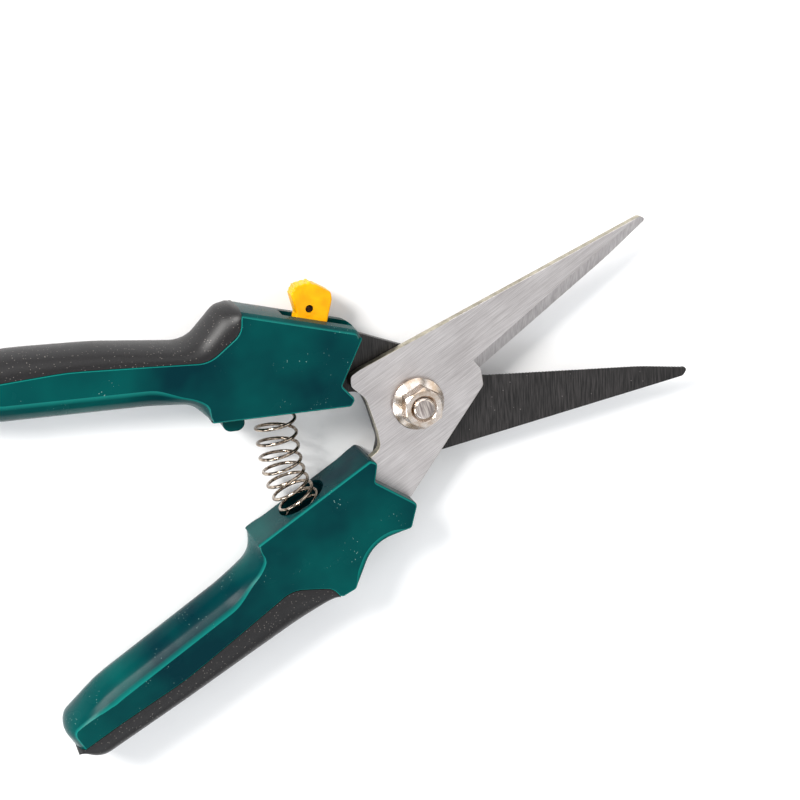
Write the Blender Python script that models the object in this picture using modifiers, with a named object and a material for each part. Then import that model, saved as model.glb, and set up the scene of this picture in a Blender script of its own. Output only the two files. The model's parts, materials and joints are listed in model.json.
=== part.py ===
"""Floral snips: two long blades on one pivot bolt, moulded handles with soft grips,
a return spring between the handles and a sliding lock.

Each half is modelled closed, with its blade along +X, and hangs on an empty on the
pivot that turns it to the sprung-open rest position.  Sizes are in millimetres.
"""
import math

import bmesh
import bpy
from mathutils import Matrix, Vector

MM = 0.001
OVERCUT = 1.0
MITRE_SOFTENING = 0.05

# Overall
HALF_OPENING_DEG = 15.75
HANDLE_THICKNESS = 16.6
PIVOT_TO_TIP = 79.0
PIVOT_TO_HANDLE_END = 126.0
SEAT_GAP = 0.3

# Blades
BLADE_THICKNESS = 2.5
BLACK_TIP_HEIGHT = 1.95
BRIGHT_TIP_HEIGHT = 3.35
TIP_SPINE_DROP = 0.7
TIP_RADIUS = 1.5
HEEL_X = 19.0
BLACK_HEEL_DEPTH = 4.55
BRIGHT_HEEL_DEPTH = 3.55
EDGE_BEND_BACK = 14.0
EDGE_BEND_RISE = 3.5
SPINE_START = (-7.4, 17.3)
TANG_TOP = 17.6
TANG_LOW = 12.2
TANG_END_X = -51.0
TANG_HOLE_RADIUS = 1.5
TANG_HOLES_X = (-25.0, -46.0)
BEVEL_WIDTH = 3.6
EDGE_THICKNESS = 0.5

# Pivot
BOLT_DIAMETER = 6.0
BOLT_END_CHAMFER = 0.5
BOLT_STANDS_PROUD = 0.4
HEAD_ACROSS_FLATS = 10.0
WASHER_DIAMETER = 12.5
WASHER_THICKNESS = 1.4
NUT_ACROSS_FLATS = 10.0
NUT_HEIGHT = 6.0
FLANGE_DIAMETER = 14.2
FLANGE_THICKNESS = 1.4

# Handle bodies, measured on the closed half
INNER_FACE = 2.8
BODY_TANG_WALL = 1.2
EDGE_ROUNDING = 0.7
FAR_ROUNDING = 2.0
FAR_END_ROUNDING = 1.0
BACK_CROWN = 0.5
BACK_BAND_WIDTH = 1.6
BACK_BAND_DEPTH = 0.9
SCOOP_CHAMFER = 1.0
FINGER_STEP_X = -56.5
FINGER_CREASE_DEG = 62.0
FINGER_DEPTH = 6.2
FINGER_FACET = 3.2
OUTLINE_SPACING = 3.0
GRIP_START_X = -46.9
GRIP_SETBACK = 0.4
GRIP_SUNK = 0.18
GRIP_END_THICKNESS = 1.2
UPPER_GRIP_START = (30.3, 31.7)
LOWER_GRIP_START = (28.5, 29.4)
UPPER_GRIP_FULLNESS = 2.0
LOWER_GRIP_FULLNESS = 3.2
GRIP_STATIONS = 44
GRIP_ARC_STEPS = 14
RIB_THICKNESS = 5.0
RIB_HEIGHT = 2.6
RIB_ROOT = 1.5
RIB_TOP_Y = 26.5
RIB_END_X = -PIVOT_TO_HANDLE_END + 13.6
RIB_END_SLOPE = 1.5
STOP_X = -49.8
STOP_RADIUS = 2.9
STOP_CLEARANCE = 1.5
STOP_WIDTH = 7.0

# Return spring
UPPER_POCKET_X = -38.3
LOWER_POCKET_X = -39.6
LOWER_SEAT_SHIFT = -0.8
SPRING_LEVEL = -0.5
SPRING_DIAMETER = 11.5
SPRING_WIRE = 0.9
SPRING_TURNS = 11.8
SPRING_START_TURN = 0.7
SPRING_UPPER_BOW = 2.1
SPRING_LOWER_BOW = 0.85
SPRING_TAPER = 0.34
SPRING_POINTS_PER_TURN = 16
POCKET_CLEARANCE = 1.25
POCKET_DEPTH = 8.0

# Lock, in its own frame: x along the slide, y out of the handle's back
LOCK_AT = (-27.9, 26.4)
LOCK_SLOPE_DEG = 15.0
LOCK_BACK_TRAVEL = 3.5
LOCK_TRAVEL = 6.5
LOCK_FIT = 0.4
BUTTON_THICKNESS = 5.0
BUTTON_FRONT = 4.9
BUTTON_BACK = -3.6
BUTTON_FOOT = -3.0
LOCK_PIN_AT = (-0.6, 2.2)
LOCK_PIN_DIAMETER = 1.8
BAR_THICKNESS = 1.2
BAR_TOP = -6.6
BAR_DEPTH = 2.8
BAR_TIP = 11.0
BAR_TAIL = -6.0
STEM_HALF_WIDTH = 1.8
STEM_ABOVE_PIN = 2.2
LEAF_THICKNESS = 0.4
LEAF_LENGTH = 9.0
LEAF_RISE = 1.3

HALF = HANDLE_THICKNESS / 2
BLADE_LOW = SEAT_GAP / 2
BLADE_HIGH = BLADE_LOW + BLADE_THICKNESS
BOLT_RADIUS = BOLT_DIAMETER / 2
BORE_RADIUS = BOLT_RADIUS + SEAT_GAP
POCKET_RADIUS = SPRING_DIAMETER / 2 + POCKET_CLEARANCE
BAR_LOW = BLADE_LOW + SEAT_GAP / 2
BAR_HIGH = BAR_LOW + BAR_THICKNESS


def rounded(corners, step_deg=15.0):
    """Points round a closed outline of (x, y, radius) corners, each corner an arc."""
    points = []
    count = len(corners)
    for i, (x, y, radius) in enumerate(corners):
        here = Vector((x, y))
        before = Vector(corners[i - 1][:2]) - here
        after = Vector(corners[(i + 1) % count][:2]) - here
        turn = math.pi - before.angle(after)
        if radius <= 0 or turn < math.radians(1.0):
            points.append(here)
            continue
        room = 0.49 * min(before.length, after.length)
        reach = min(radius * math.tan(turn / 2), room)
        radius = reach / math.tan(turn / 2)
        bisector = (before.normalized() + after.normalized()).normalized()
        centre = here + bisector * math.hypot(radius, reach)
        start = here + before.normalized() * reach - centre
        side = 1 if before.x * after.y - before.y * after.x < 0 else -1
        steps = max(1, round(math.degrees(turn) / step_deg))
        for k in range(steps + 1):
            arm = Matrix.Rotation(side * turn * k / steps, 2) @ start
            points.append(centre + arm)
    return points


def ring(x, y, radius, steps=24):
    """Points round a circle."""
    return [
        Vector((x + radius * math.cos(math.tau * k / steps),
                y + radius * math.sin(math.tau * k / steps)))
        for k in range(steps)
    ]


def flipped(points, side):
    """The outline on the upper handle's side (+1) or mirrored to the lower one's (-1)."""
    return [Vector((p.x, p.y * side)) for p in points]


def shifted(points, back, out):
    """The points moved towards the handle's end and away from the other handle."""
    return [Vector((p.x - back, p.y + out)) for p in points]


def handle_front():
    """Corners down the handle's front, from its back to the start of its inner face."""
    return [(-21.6, 8.6, 0.8), (-18.2, 4.7, 1.1), (-19.4, INNER_FACE, 1.1)]


def handle_inside():
    """Corners along the inner face, the step and the finger side to the end."""
    end = -PIVOT_TO_HANDLE_END
    return [
        (-56.0, INNER_FACE, 1.2),
        (-60.6, 7.0, 6.0),
        (-72.0, 7.6, 40.0),
        (end + 14.0, 8.2, 30.0),
        (end, 12.0, 6.0),
    ]


def upper_back():
    """Corners along the upper body's back, from the grip to the front."""
    return [(GRIP_START_X, 31.2, 0.0), (-14.6, 22.5, 2.4)]


def lower_back():
    """Corners along the lower body's back: straight, then a thumb scoop."""
    return [
        (GRIP_START_X, 29.4, 1.2),
        (-42.4, 29.9, 1.4),
        (-31.5, 22.3, 17.0),
        (-20.9, 25.6, 1.2),
        (-15.9, 21.0, 1.4),
    ]


def lip():
    """Corners of the edge between the hard body and the soft grip, back to end."""
    end = -PIVOT_TO_HANDLE_END
    return [
        (GRIP_START_X - 0.4, 25.6, 5.0),
        (-56.0, 18.9, 8.0),
        (-72.0, 19.8, 40.0),
        (-92.0, 20.8, 60.0),
        (end + 14.0, 19.6, 30.0),
        (end, 19.2, 0.0),
    ]


def upper_crest():
    """Corners along the top of the upper grip: a horn, then the palm side."""
    end = -PIVOT_TO_HANDLE_END
    return [
        (-49.0, 32.4, 1.8),
        (-52.4, 31.9, 3.6),
        (-60.6, 23.2, 8.0),
        (-84.0, 25.8, 60.0),
        (end + 20.0, 26.6, 60.0),
        (end + 3.0, 25.2, 6.0),
    ]


def lower_crest():
    """Corners along the top of the lower grip."""
    end = -PIVOT_TO_HANDLE_END
    return [(-100.0, 26.8, 60.0), (end + 3.0, 25.6, 6.0)]


def open_line(corners):
    """The rounded corners as an open line with points no further apart than the spacing."""
    points = rounded(corners)
    last = Vector(corners[-1][:2])
    stop = min(range(len(points)), key=lambda i: (points[i] - last).length)
    return points[:stop + 1]


def spaced(points):
    """A closed outline with points added along its long runs."""
    filled = []
    for a, b in zip(points, points[1:] + points[:1]):
        count = max(1, math.ceil((b - a).length / OUTLINE_SPACING))
        filled += [a.lerp(b, k / count) for k in range(count)]
    return filled


def resampled(points, count):
    """The open line as the given number of evenly spread points."""
    lengths = [0.0]
    for a, b in zip(points, points[1:]):
        lengths.append(lengths[-1] + (b - a).length)
    even = []
    k = 0
    for i in range(count):
        want = lengths[-1] * i / (count - 1)
        while k < len(points) - 2 and lengths[k + 1] < want:
            k += 1
        share = (want - lengths[k]) / (lengths[k + 1] - lengths[k])
        even.append(points[k].lerp(points[k + 1], min(1.0, share)))
    return even


def moved_inward(outline, depth_at):
    """The outline with each run stepped in by its own depth, its corners mitred."""
    area = sum(a.cross(b) for a, b in zip(outline, outline[1:] + outline[:1]))
    way = math.copysign(1.0, area)
    walls = []
    for a, b in zip(outline, outline[1:] + outline[:1]):
        run = (b - a).normalized()
        walls.append((Vector((-run.y, run.x)) * way, depth_at((a + b) / 2)))
    moved = []
    for i, point in enumerate(outline):
        (n1, d1), (n2, d2) = walls[i - 1], walls[i]
        shared = n1.x * n1.y + n2.x * n2.y
        pull = Matrix(((n1.x**2 + n2.x**2 + MITRE_SOFTENING, shared),
                       (shared, n1.y**2 + n2.y**2 + MITRE_SOFTENING)))
        moved.append(point + pull.inverted() @ (n1 * d1 + n2 * d2))
    return moved


def ramp(value, low, high):
    """A soft step from 0 at low to 1 at high."""
    share = min(1.0, max(0.0, (value - low) / (high - low)))
    return share * share * (3 - 2 * share)


def rim_round(z, face, radius):
    """How far a quarter round at a flat face has drawn the wall in."""
    over = radius - abs(face - z)
    if over <= 0:
        return 0.0
    return radius - math.sqrt(max(0.0, radius**2 - over**2))


def finger_depth(x):
    """How deep the finger side is rounded: a facet at the step, then a full belly."""
    start = ramp(-x, 56.4, 59.0)
    widen = ramp(-x, 60.0, 72.0)
    close = 1.0 - 0.6 * ramp(-x, PIVOT_TO_HANDLE_END - 16.0, PIVOT_TO_HANDLE_END - 1.0)
    deep = FINGER_FACET + (FINGER_DEPTH - FINGER_FACET) * widen
    return EDGE_ROUNDING + (deep * close - EDGE_ROUNDING) * start


def body_inset(side):
    """How far each run of a handle's outline steps in at a height."""
    bend = math.radians(FINGER_CREASE_DEG)

    def inset(p, z):
        if p.x < GRIP_START_X + 0.02 and p.y > 18.0:
            return 0.0
        if p.x < FINGER_STEP_X and p.y < 18.0:
            leaning = math.asin(min(1.0, abs(z) / HALF) * math.sin(bend))
            return finger_depth(p.x) * (1 - math.cos(leaning)) / (1 - math.cos(bend))
        straight = ramp(p.x, -54.0, -50.0) * (1.0 - ramp(p.x, -26.0, -21.0))
        far = rim_round(z, -HALF, FAR_END_ROUNDING + (FAR_ROUNDING - FAR_END_ROUNDING) * straight)
        near = rim_round(z, HALF, EDGE_ROUNDING)
        if side > 0 and p.y > 21.0:
            band = max(0.0, z - HALF + BACK_BAND_WIDTH) / BACK_BAND_WIDTH * BACK_BAND_DEPTH
            return BACK_CROWN * (z / HALF)**2 + band + far
        if side < 0 and p.y > 20.0:
            scoop = ramp(p.x, -42.0, -38.0) * (1.0 - ramp(p.x, -26.0, -22.0)) * SCOOP_CHAMFER
            chamfer = max(0.0, z - HALF + EDGE_ROUNDING) / EDGE_ROUNDING * scoop
            return near + chamfer + rim_round(z, -HALF, FAR_END_ROUNDING)
        return near + far
    return inset


def body_levels():
    """Heights at which a handle's outline is drawn."""
    far = [-HALF + FAR_ROUNDING * (1 - math.sin(math.pi / 2 * k / 4)) for k in range(4, -1, -1)]
    near = [HALF - EDGE_ROUNDING * (1 - math.sin(math.pi / 2 * k / 2)) for k in range(3)]
    middle = [HALF * share for share in (-0.55, -0.3, 0.0, 0.3, 0.55)]
    return [*far, *middle, HALF - BACK_BAND_WIDTH, *near]


def grip_line():
    """The lip drawn on past both ends of the grip."""
    end = -PIVOT_TO_HANDLE_END
    return open_line([(GRIP_START_X, 36.0, 0.0), *lip()[:-1], (end - 4.0, 19.0, 0.0)])


def tang_inside(side_gap):
    """Corners of the part of the tang that the handle holds, grown by a gap."""
    g = side_gap
    step = UPPER_POCKET_X + POCKET_RADIUS + BODY_TANG_WALL
    return [
        (-19.4, TANG_TOP + g, 0.8),
        (TANG_END_X - g, TANG_TOP + g, 1.5),
        (TANG_END_X - g, TANG_LOW - g, 1.5),
        (step - g, TANG_LOW - g, 1.0),
        (step - g, 5.2 - g, 1.0),
    ]


def blade_outline(heel_depth, tip_height):
    """The upper handle's own blade and tang: its edge faces up, its spine faces down."""
    tip = PIVOT_TO_TIP
    corners = [
        (SPINE_START[0], -SPINE_START[1], 2.0),
        (tip - TIP_RADIUS, -tip_height - TIP_SPINE_DROP, TIP_RADIUS),
        (tip, TIP_RADIUS - tip_height, TIP_RADIUS),
        (tip - EDGE_BEND_BACK, EDGE_BEND_RISE - tip_height, 60.0),
        (HEEL_X, heel_depth, 0.6),
        (17.2, 7.5, 1.5),
        (-16.4, 20.8, 1.2),
        *tang_inside(0.0),
        (-14.9, 4.2, 3.0),
        (-13.0, -0.4, 4.0),
        (-10.5, -9.6, 5.0),
        (-11.9, -15.0, 1.6),
        (-10.4, -17.4, 1.6),
    ]
    return rounded(corners)


def tang_holes(radius):
    """The holes through the tang, or the moulded posts that fill them."""
    return [ring(x, (TANG_TOP + TANG_LOW) / 2, radius, steps=16) for x in TANG_HOLES_X]


def tang_pocket():
    """The space that the handle keeps for the tang, open at the handle's front."""
    corners = [
        (-12.0, 22.4 + SEAT_GAP, 0.0),
        (-16.6, 20.6 + SEAT_GAP, 0.0),
        *tang_inside(SEAT_GAP),
        (-12.0, 3.0, 0.0),
    ]
    return rounded(corners)


def clear_scene():
    for obj in list(bpy.data.objects):
        bpy.data.objects.remove(obj, do_unlink=True)


def new_collection(name, visible=True):
    group = bpy.data.collections.new(name)
    bpy.context.scene.collection.children.link(group)
    group.hide_render = not visible
    return group


def material(name, colour, metallic=0.0, roughness=0.4):
    mat = bpy.data.materials.new(name)
    mat.use_nodes = True
    shader = mat.node_tree.nodes["Principled BSDF"]
    shader.inputs["Base Color"].default_value = (*colour, 1.0)
    shader.inputs["Metallic"].default_value = metallic
    shader.inputs["Roughness"].default_value = roughness
    return mat


def add_mesh(name, mesh, group, parent, mat=None):
    obj = bpy.data.objects.new(name, mesh)
    group.objects.link(obj)
    obj.parent = parent
    if mat:
        mesh.materials.clear()
        mesh.materials.append(mat)
    return obj


def plate(name, outlines, low, high, group, parent, mat=None):
    """A flat plate: the first outline is its edge, the others are holes."""
    curve = bpy.data.curves.new(name, "CURVE")
    curve.dimensions = "2D"
    curve.fill_mode = "BOTH"
    curve.extrude = (high - low) / 2 * MM
    for outline in outlines:
        spline = curve.splines.new("POLY")
        spline.points.add(len(outline) - 1)
        for point, at in zip(spline.points, outline):
            point.co = (at.x * MM, at.y * MM, 0.0, 1.0)
        spline.use_cyclic_u = True
    flat = bpy.data.objects.new(name, curve)
    group.objects.link(flat)
    bpy.context.view_layer.update()
    mesh = bpy.data.meshes.new_from_object(flat.evaluated_get(bpy.context.evaluated_depsgraph_get()))
    bpy.data.objects.remove(flat, do_unlink=True)
    bm = bmesh.new()
    bm.from_mesh(mesh)
    bmesh.ops.remove_doubles(bm, verts=bm.verts, dist=1e-6)
    bmesh.ops.translate(bm, verts=bm.verts, vec=(0.0, 0.0, (low + high) / 2 * MM))
    bmesh.ops.dissolve_limit(bm, angle_limit=0.002, verts=bm.verts, edges=bm.edges)
    bmesh.ops.recalc_face_normals(bm, faces=bm.faces)
    bm.to_mesh(mesh)
    bm.free()
    return add_mesh(name, mesh, group, parent, mat)


def box(name, low, high, group, parent):
    bm = bmesh.new()
    bmesh.ops.create_cube(bm, size=1.0)
    size = [(b - a) * MM for a, b in zip(low, high)]
    middle = [(a + b) / 2 * MM for a, b in zip(low, high)]
    bmesh.ops.scale(bm, vec=size, verts=bm.verts)
    bmesh.ops.translate(bm, vec=middle, verts=bm.verts)
    mesh = bpy.data.meshes.new(name)
    bm.to_mesh(mesh)
    bm.free()
    return add_mesh(name, mesh, group, parent)


def cylinder(name, radius, low, high, group, parent, mat=None, sides=32, turn=None):
    """A cylinder along Z, or along another axis when turned."""
    bm = bmesh.new()
    bmesh.ops.create_cone(
        bm, cap_ends=True, segments=sides, radius1=radius * MM, radius2=radius * MM,
        depth=(high - low) * MM,
    )
    bmesh.ops.translate(bm, vec=(0.0, 0.0, (low + high) / 2 * MM), verts=bm.verts)
    if turn:
        bmesh.ops.transform(bm, matrix=turn, verts=bm.verts)
    mesh = bpy.data.meshes.new(name)
    bm.to_mesh(mesh)
    bm.free()
    return add_mesh(name, mesh, group, parent, mat)


def turned(name, profile, group, parent, mat, sides=40):
    """A turned piece from (radius, height) points, top to bottom on its outer side."""
    bm = bmesh.new()
    verts = [bm.verts.new((r * MM, 0.0, z * MM)) for r, z in profile]
    on_axis = profile[0][0] == 0.0
    for a, b in zip(verts, verts[1:] if on_axis else verts[1:] + verts[:1]):
        bm.edges.new((a, b))
    mesh = bpy.data.meshes.new(name)
    bm.to_mesh(mesh)
    bm.free()
    obj = add_mesh(name, mesh, group, parent, mat)
    screw = obj.modifiers.new("turn", "SCREW")
    screw.steps = sides
    screw.render_steps = sides
    screw.use_merge_vertices = True
    screw.merge_threshold = 1e-6
    return obj


def combine(obj, other, operation):
    step = obj.modifiers.new(other.name, "BOOLEAN")
    step.operation = operation
    step.solver = "EXACT"
    step.object = other


def cut(obj, *cutters):
    for cutter in cutters:
        combine(obj, cutter, "DIFFERENCE")


def join(obj, *others):
    for other in others:
        combine(obj, other, "UNION")


def moulded(name, outline, levels, inset_at, side, group, parent, mat=None):
    """A block grown level by level, its outline drawn in by inset_at(point, z)."""
    bm = bmesh.new()
    first = moved_inward(outline, lambda p: inset_at(p, levels[0]))
    cap = bm.faces.new([bm.verts.new((p.x, p.y, levels[0])) for p in first])
    for z in levels[1:]:
        under = cap
        grown = bmesh.ops.extrude_face_region(bm, geom=[cap])["geom"]
        cap = next(face for face in grown if isinstance(face, bmesh.types.BMFace))
        if z != levels[1]:
            bmesh.ops.delete(bm, geom=[under], context="FACES_ONLY")
        for vert, p in zip(cap.verts, moved_inward(outline, lambda q: inset_at(q, z))):
            vert.co = (p.x, p.y, z)
    bmesh.ops.triangulate(bm, faces=[face for face in bm.faces if len(face.verts) == 4])
    return closed_mesh(name, bm, side, group, parent, mat)


def closed_mesh(name, bm, side, group, parent, mat):
    """Puts a shape worked out on the upper side onto its own side, in metres."""
    bmesh.ops.scale(bm, vec=(MM, MM * side, MM), verts=bm.verts)
    bmesh.ops.recalc_face_normals(bm, faces=bm.faces)
    mesh = bpy.data.meshes.new(name)
    bm.to_mesh(mesh)
    bm.free()
    return add_mesh(name, mesh, group, parent, mat)


def grip_skin(name, start, crest_corners, fullness, side, group, parent, mat):
    """A soft grip: D-shaped sections between the lip and the crest."""
    start_x = GRIP_START_X - GRIP_SETBACK
    end = (-PIVOT_TO_HANDLE_END + 0.2, lip()[-1][1] + SEAT_GAP, 0.0)
    lip_corners = [(x - SEAT_GAP, y + SEAT_GAP, radius) for x, y, radius in lip()[:-1]]
    low_line = resampled(open_line([(start_x, start[0], 0.0), *lip_corners, end]), GRIP_STATIONS)
    high_end = (end[0], end[1] + GRIP_END_THICKNESS, 0.0)
    high_line = resampled(open_line([(start_x, start[1], 0.0), *crest_corners, high_end]), GRIP_STATIONS)
    top = HALF - GRIP_SUNK
    section = [(0.0, top - 0.35)]
    for k in range(1, GRIP_ARC_STEPS):
        angle = math.pi / 2 - math.pi * k / GRIP_ARC_STEPS
        rise = math.copysign(abs(math.sin(angle))**(2.0 / fullness), math.sin(angle))
        section.append((math.cos(angle)**(2.0 / fullness), top * rise))
    section.append((0.0, -top + 0.35))
    bm = bmesh.new()
    rings = []
    for low, high in zip(low_line, high_line):
        spots = [(low.lerp(high, out), z) for out, z in section]
        rings.append([bm.verts.new((at.x, at.y, z)) for at, z in spots])
    for a, b in zip(rings, rings[1:]):
        for k in range(len(a)):
            bm.faces.new((a[k - 1], a[k], b[k], b[k - 1]))
    bm.faces.new(rings[0])
    bm.faces.new(rings[-1])
    return closed_mesh(name, bm, side, group, parent, mat)


def spring_pocket(name, x, side, cutters, half):
    """A round pocket square to the inner face."""
    turn = Matrix.Translation((x * MM, 0.0, SPRING_LEVEL * MM)) @ Matrix.Rotation(-side * math.pi / 2, 4, "X")
    return cylinder(name, POCKET_RADIUS, -OVERCUT, INNER_FACE + POCKET_DEPTH, cutters, half, turn=turn)


def handle_body(name, side, back, pocket_x, low, high, parts, cutters, half, mat):
    """A handle's hard body, with its tang space, its spring pocket and the grip's rib."""
    outline = spaced(rounded([*back(), *handle_front(), *handle_inside(), *reversed(lip())]))
    body = moulded(f"{name}_body", outline, body_levels(), body_inset(side), side, parts, half, mat)
    posts = tang_holes(TANG_HOLE_RADIUS - SEAT_GAP)
    pocket = plate(f"{name}_tang_space", [flipped(o, side) for o in [tang_pocket(), *posts]],
                   low - SEAT_GAP, high + SEAT_GAP, cutters, half)
    join(body, rib(f"{name}_rib", 0.0, side, cutters, half))
    cut(body, pocket, spring_pocket(f"{name}_spring_space", pocket_x, side, cutters, half))
    return body


def stretch(line, high_y, low_x):
    """The run of a line from where it drops under high_y to where it passes low_x."""
    points = list(line)
    while points[1].y > high_y:
        points.pop(0)
    share = (points[0].y - high_y) / (points[0].y - points[1].y)
    points[0] = points[0].lerp(points[1], share)
    while points[-2].x < low_x:
        points.pop()
    share = (points[-2].x - low_x) / (points[-2].x - points[-1].x)
    points[-1] = points[-2].lerp(points[-1], share)
    return points


def rib(name, gap, side, cutters, half):
    """The rib that keys the grip to the body, or the groove round it."""
    # The end faces slope, so the groove runs on by more than the gap
    reach = gap * RIB_END_SLOPE
    line = stretch(grip_line(), RIB_TOP_Y + reach, RIB_END_X - reach)
    root = shifted(line, -RIB_ROOT, -RIB_ROOT)
    crest = shifted(line, RIB_HEIGHT + gap, RIB_HEIGHT + gap)
    tall = RIB_THICKNESS / 2 + gap
    return plate(name, [flipped([*root, *reversed(crest)], side)], -tall, tall, cutters, half)


def blade(name, side, heel_depth, tip_height, low, high, parts, cutters, half, mat):
    """A blade: flat on its inner face, ground back from the edge on its outer face."""
    holes = [ring(0.0, 0.0, BORE_RADIUS), *tang_holes(TANG_HOLE_RADIUS)]
    outlines = [flipped(o, side) for o in [blade_outline(heel_depth, tip_height), *holes]]
    body = plate(name, outlines, low, high, parts, half, mat)
    outer, edge_level = (high, low + EDGE_THICKNESS) if high > 0 else (low, high - EDGE_THICKNESS)
    heel = Vector((HEEL_X, heel_depth))
    bend = Vector((PIVOT_TO_TIP - EDGE_BEND_BACK, EDGE_BEND_RISE - tip_height))
    rise = (bend - heel).normalized()
    across = Vector((rise.y, -rise.x))
    away = math.copysign(1.0, outer)
    profile = [
        (heel - across, edge_level - (outer - edge_level) / BEVEL_WIDTH),
        (heel + across * BEVEL_WIDTH, outer),
        (heel + across * BEVEL_WIDTH, outer + away * 2.0),
        (heel - across, outer + away * 2.0),
    ]
    bm = bmesh.new()
    start = [bm.verts.new(Vector((p.x, p.y * side, z)) * MM) for p, z in profile]
    face = bm.faces.new(start)
    run = Vector((rise.x, rise.y * side, 0.0)) * (PIVOT_TO_TIP - HEEL_X + 6.0) * MM
    grown = bmesh.ops.extrude_face_region(bm, geom=[face])
    moved = [v for v in grown["geom"] if isinstance(v, bmesh.types.BMVert)]
    bmesh.ops.translate(bm, verts=moved, vec=run)
    bmesh.ops.recalc_face_normals(bm, faces=bm.faces)
    mesh = bpy.data.meshes.new(f"{name}_grind")
    bm.to_mesh(mesh)
    bm.free()
    grind = add_mesh(f"{name}_grind", mesh, cutters, half)
    cut(body, grind)
    return body


def pivot(parts, cutters, half, mats):
    """The bolt through both blades, its washer and the flange nut on its end."""
    washer_top = -BLADE_HIGH - SEAT_GAP
    washer_low = washer_top - WASHER_THICKNESS
    head_top = washer_low - SEAT_GAP
    nut_low = BLADE_HIGH + SEAT_GAP
    end = nut_low + NUT_HEIGHT + BOLT_STANDS_PROUD
    bolt = turned("pivot_bolt", [(0.0, end), (BOLT_RADIUS - BOLT_END_CHAMFER, end),
                                 (BOLT_RADIUS, end - BOLT_END_CHAMFER), (BOLT_RADIUS, head_top - 1.0),
                                 (0.0, head_top - 1.0)], parts, half, mats["nickel"])
    head = cylinder("bolt_head_shape", HEAD_ACROSS_FLATS / math.sqrt(3.0), -HALF, head_top,
                    cutters, half, sides=6)
    join(bolt, head)
    outer, inner = WASHER_DIAMETER / 2, BORE_RADIUS
    turned("pivot_washer", [(outer, washer_top), (outer, washer_low), (inner, washer_low),
                            (inner, washer_top)], parts, half, mats["nickel"])
    flange = FLANGE_DIAMETER / 2
    slope_end = NUT_ACROSS_FLATS / 2
    nut = turned("flange_nut", [(inner, nut_low + FLANGE_THICKNESS + 1.0),
                                (slope_end, nut_low + FLANGE_THICKNESS + 1.0),
                                (flange, nut_low + FLANGE_THICKNESS), (flange, nut_low),
                                (inner, nut_low)], parts, half, mats["nickel"])
    hexagon = cylinder("nut_hexagon", NUT_ACROSS_FLATS / math.sqrt(3.0),
                       nut_low + FLANGE_THICKNESS - 0.6, nut_low + NUT_HEIGHT, cutters, half, sides=6)
    bore = cylinder("nut_bore", BORE_RADIUS, nut_low - OVERCUT, nut_low + NUT_HEIGHT + OVERCUT, cutters, half,
                    sides=40)
    join(nut, hexagon)
    cut(nut, bore)


def spring_axis(t):
    """The point and direction along the spring's bent centre line, from upper to lower seat."""
    turn = math.radians(HALF_OPENING_DEG)
    seat = INNER_FACE + POCKET_DEPTH - SEAT_GAP - SPRING_WIRE / 2
    ends = []
    for side, x in ((1, UPPER_POCKET_X), (-1, LOWER_POCKET_X + LOWER_SEAT_SHIFT)):
        spin = Matrix.Rotation(-side * turn, 2)
        ends.append((spin @ Vector((x, seat * side)), spin @ Vector((0.0, -1.0))))
    (a, da), (b, db) = ends
    pull = (a - b).length
    da *= pull * SPRING_UPPER_BOW
    db *= pull * SPRING_LOWER_BOW
    h = (2 * t**3 - 3 * t**2 + 1, t**3 - 2 * t**2 + t, 3 * t**2 - 2 * t**3, t**3 - t**2)
    k = (6 * t**2 - 6 * t, 3 * t**2 - 4 * t + 1, 6 * t - 6 * t**2, 3 * t**2 - 2 * t)
    at = a * h[0] + da * h[1] + b * h[2] + db * h[3]
    along = (a * k[0] + da * k[1] + b * k[2] + db * k[3]).normalized()
    return at, along


def even_share(share):
    """Where on the centre line a share of its length is reached."""
    steps = 60
    line = [spring_axis(k / steps)[0] for k in range(steps + 1)]
    lengths = [0.0]
    for a, b in zip(line, line[1:]):
        lengths.append(lengths[-1] + (b - a).length)
    want = share * lengths[-1]
    k = max(i for i in range(steps) if lengths[i] <= want + 1e-9)
    return (k + (want - lengths[k]) / (lengths[k + 1] - lengths[k])) / steps


def return_spring(parts, centre, mat):
    """A compression spring whose centre line bends between the two handles."""
    curve = bpy.data.curves.new("return_spring", "CURVE")
    curve.dimensions = "3D"
    curve.bevel_depth = SPRING_WIRE / 2 * MM
    curve.bevel_resolution = 2
    curve.use_fill_caps = True
    spline = curve.splines.new("POLY")
    count = round(SPRING_TURNS * SPRING_POINTS_PER_TURN) + 1
    spline.points.add(count - 1)
    radius = (SPRING_DIAMETER - SPRING_WIRE) / 2
    for i, point in enumerate(spline.points):
        share = i / (count - 1)
        at, along = spring_axis(even_share(share + SPRING_TAPER * share * (1 - share)))
        angle = math.tau * (SPRING_TURNS * share + SPRING_START_TURN)
        across = Vector((-along.y, along.x))
        place = at + across * radius * math.cos(angle)
        point.co = (place.x * MM, place.y * MM, (radius * math.sin(angle) + SPRING_LEVEL) * MM, 1.0)
    spring = bpy.data.objects.new("return_spring", curve)
    parts.objects.link(spring)
    spring.parent = centre
    curve.materials.append(mat)


def button_outline():
    """The thumb lobe above the handle and the foot in its slot."""
    return rounded([
        (BUTTON_BACK, BUTTON_FOOT, 0.6),
        (BUTTON_BACK, 0.4, 1.0),
        (-6.5, 5.4, 1.0),
        (-5.5, 7.5, 1.2),
        (-1.8, 9.2, 1.6),
        (4.2, 7.4, 1.2),
        (BUTTON_FRONT, 5.6, 1.0),
        (BUTTON_FRONT, 0.4, 1.0),
        (BUTTON_FRONT, BUTTON_FOOT, 0.6),
    ])


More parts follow.
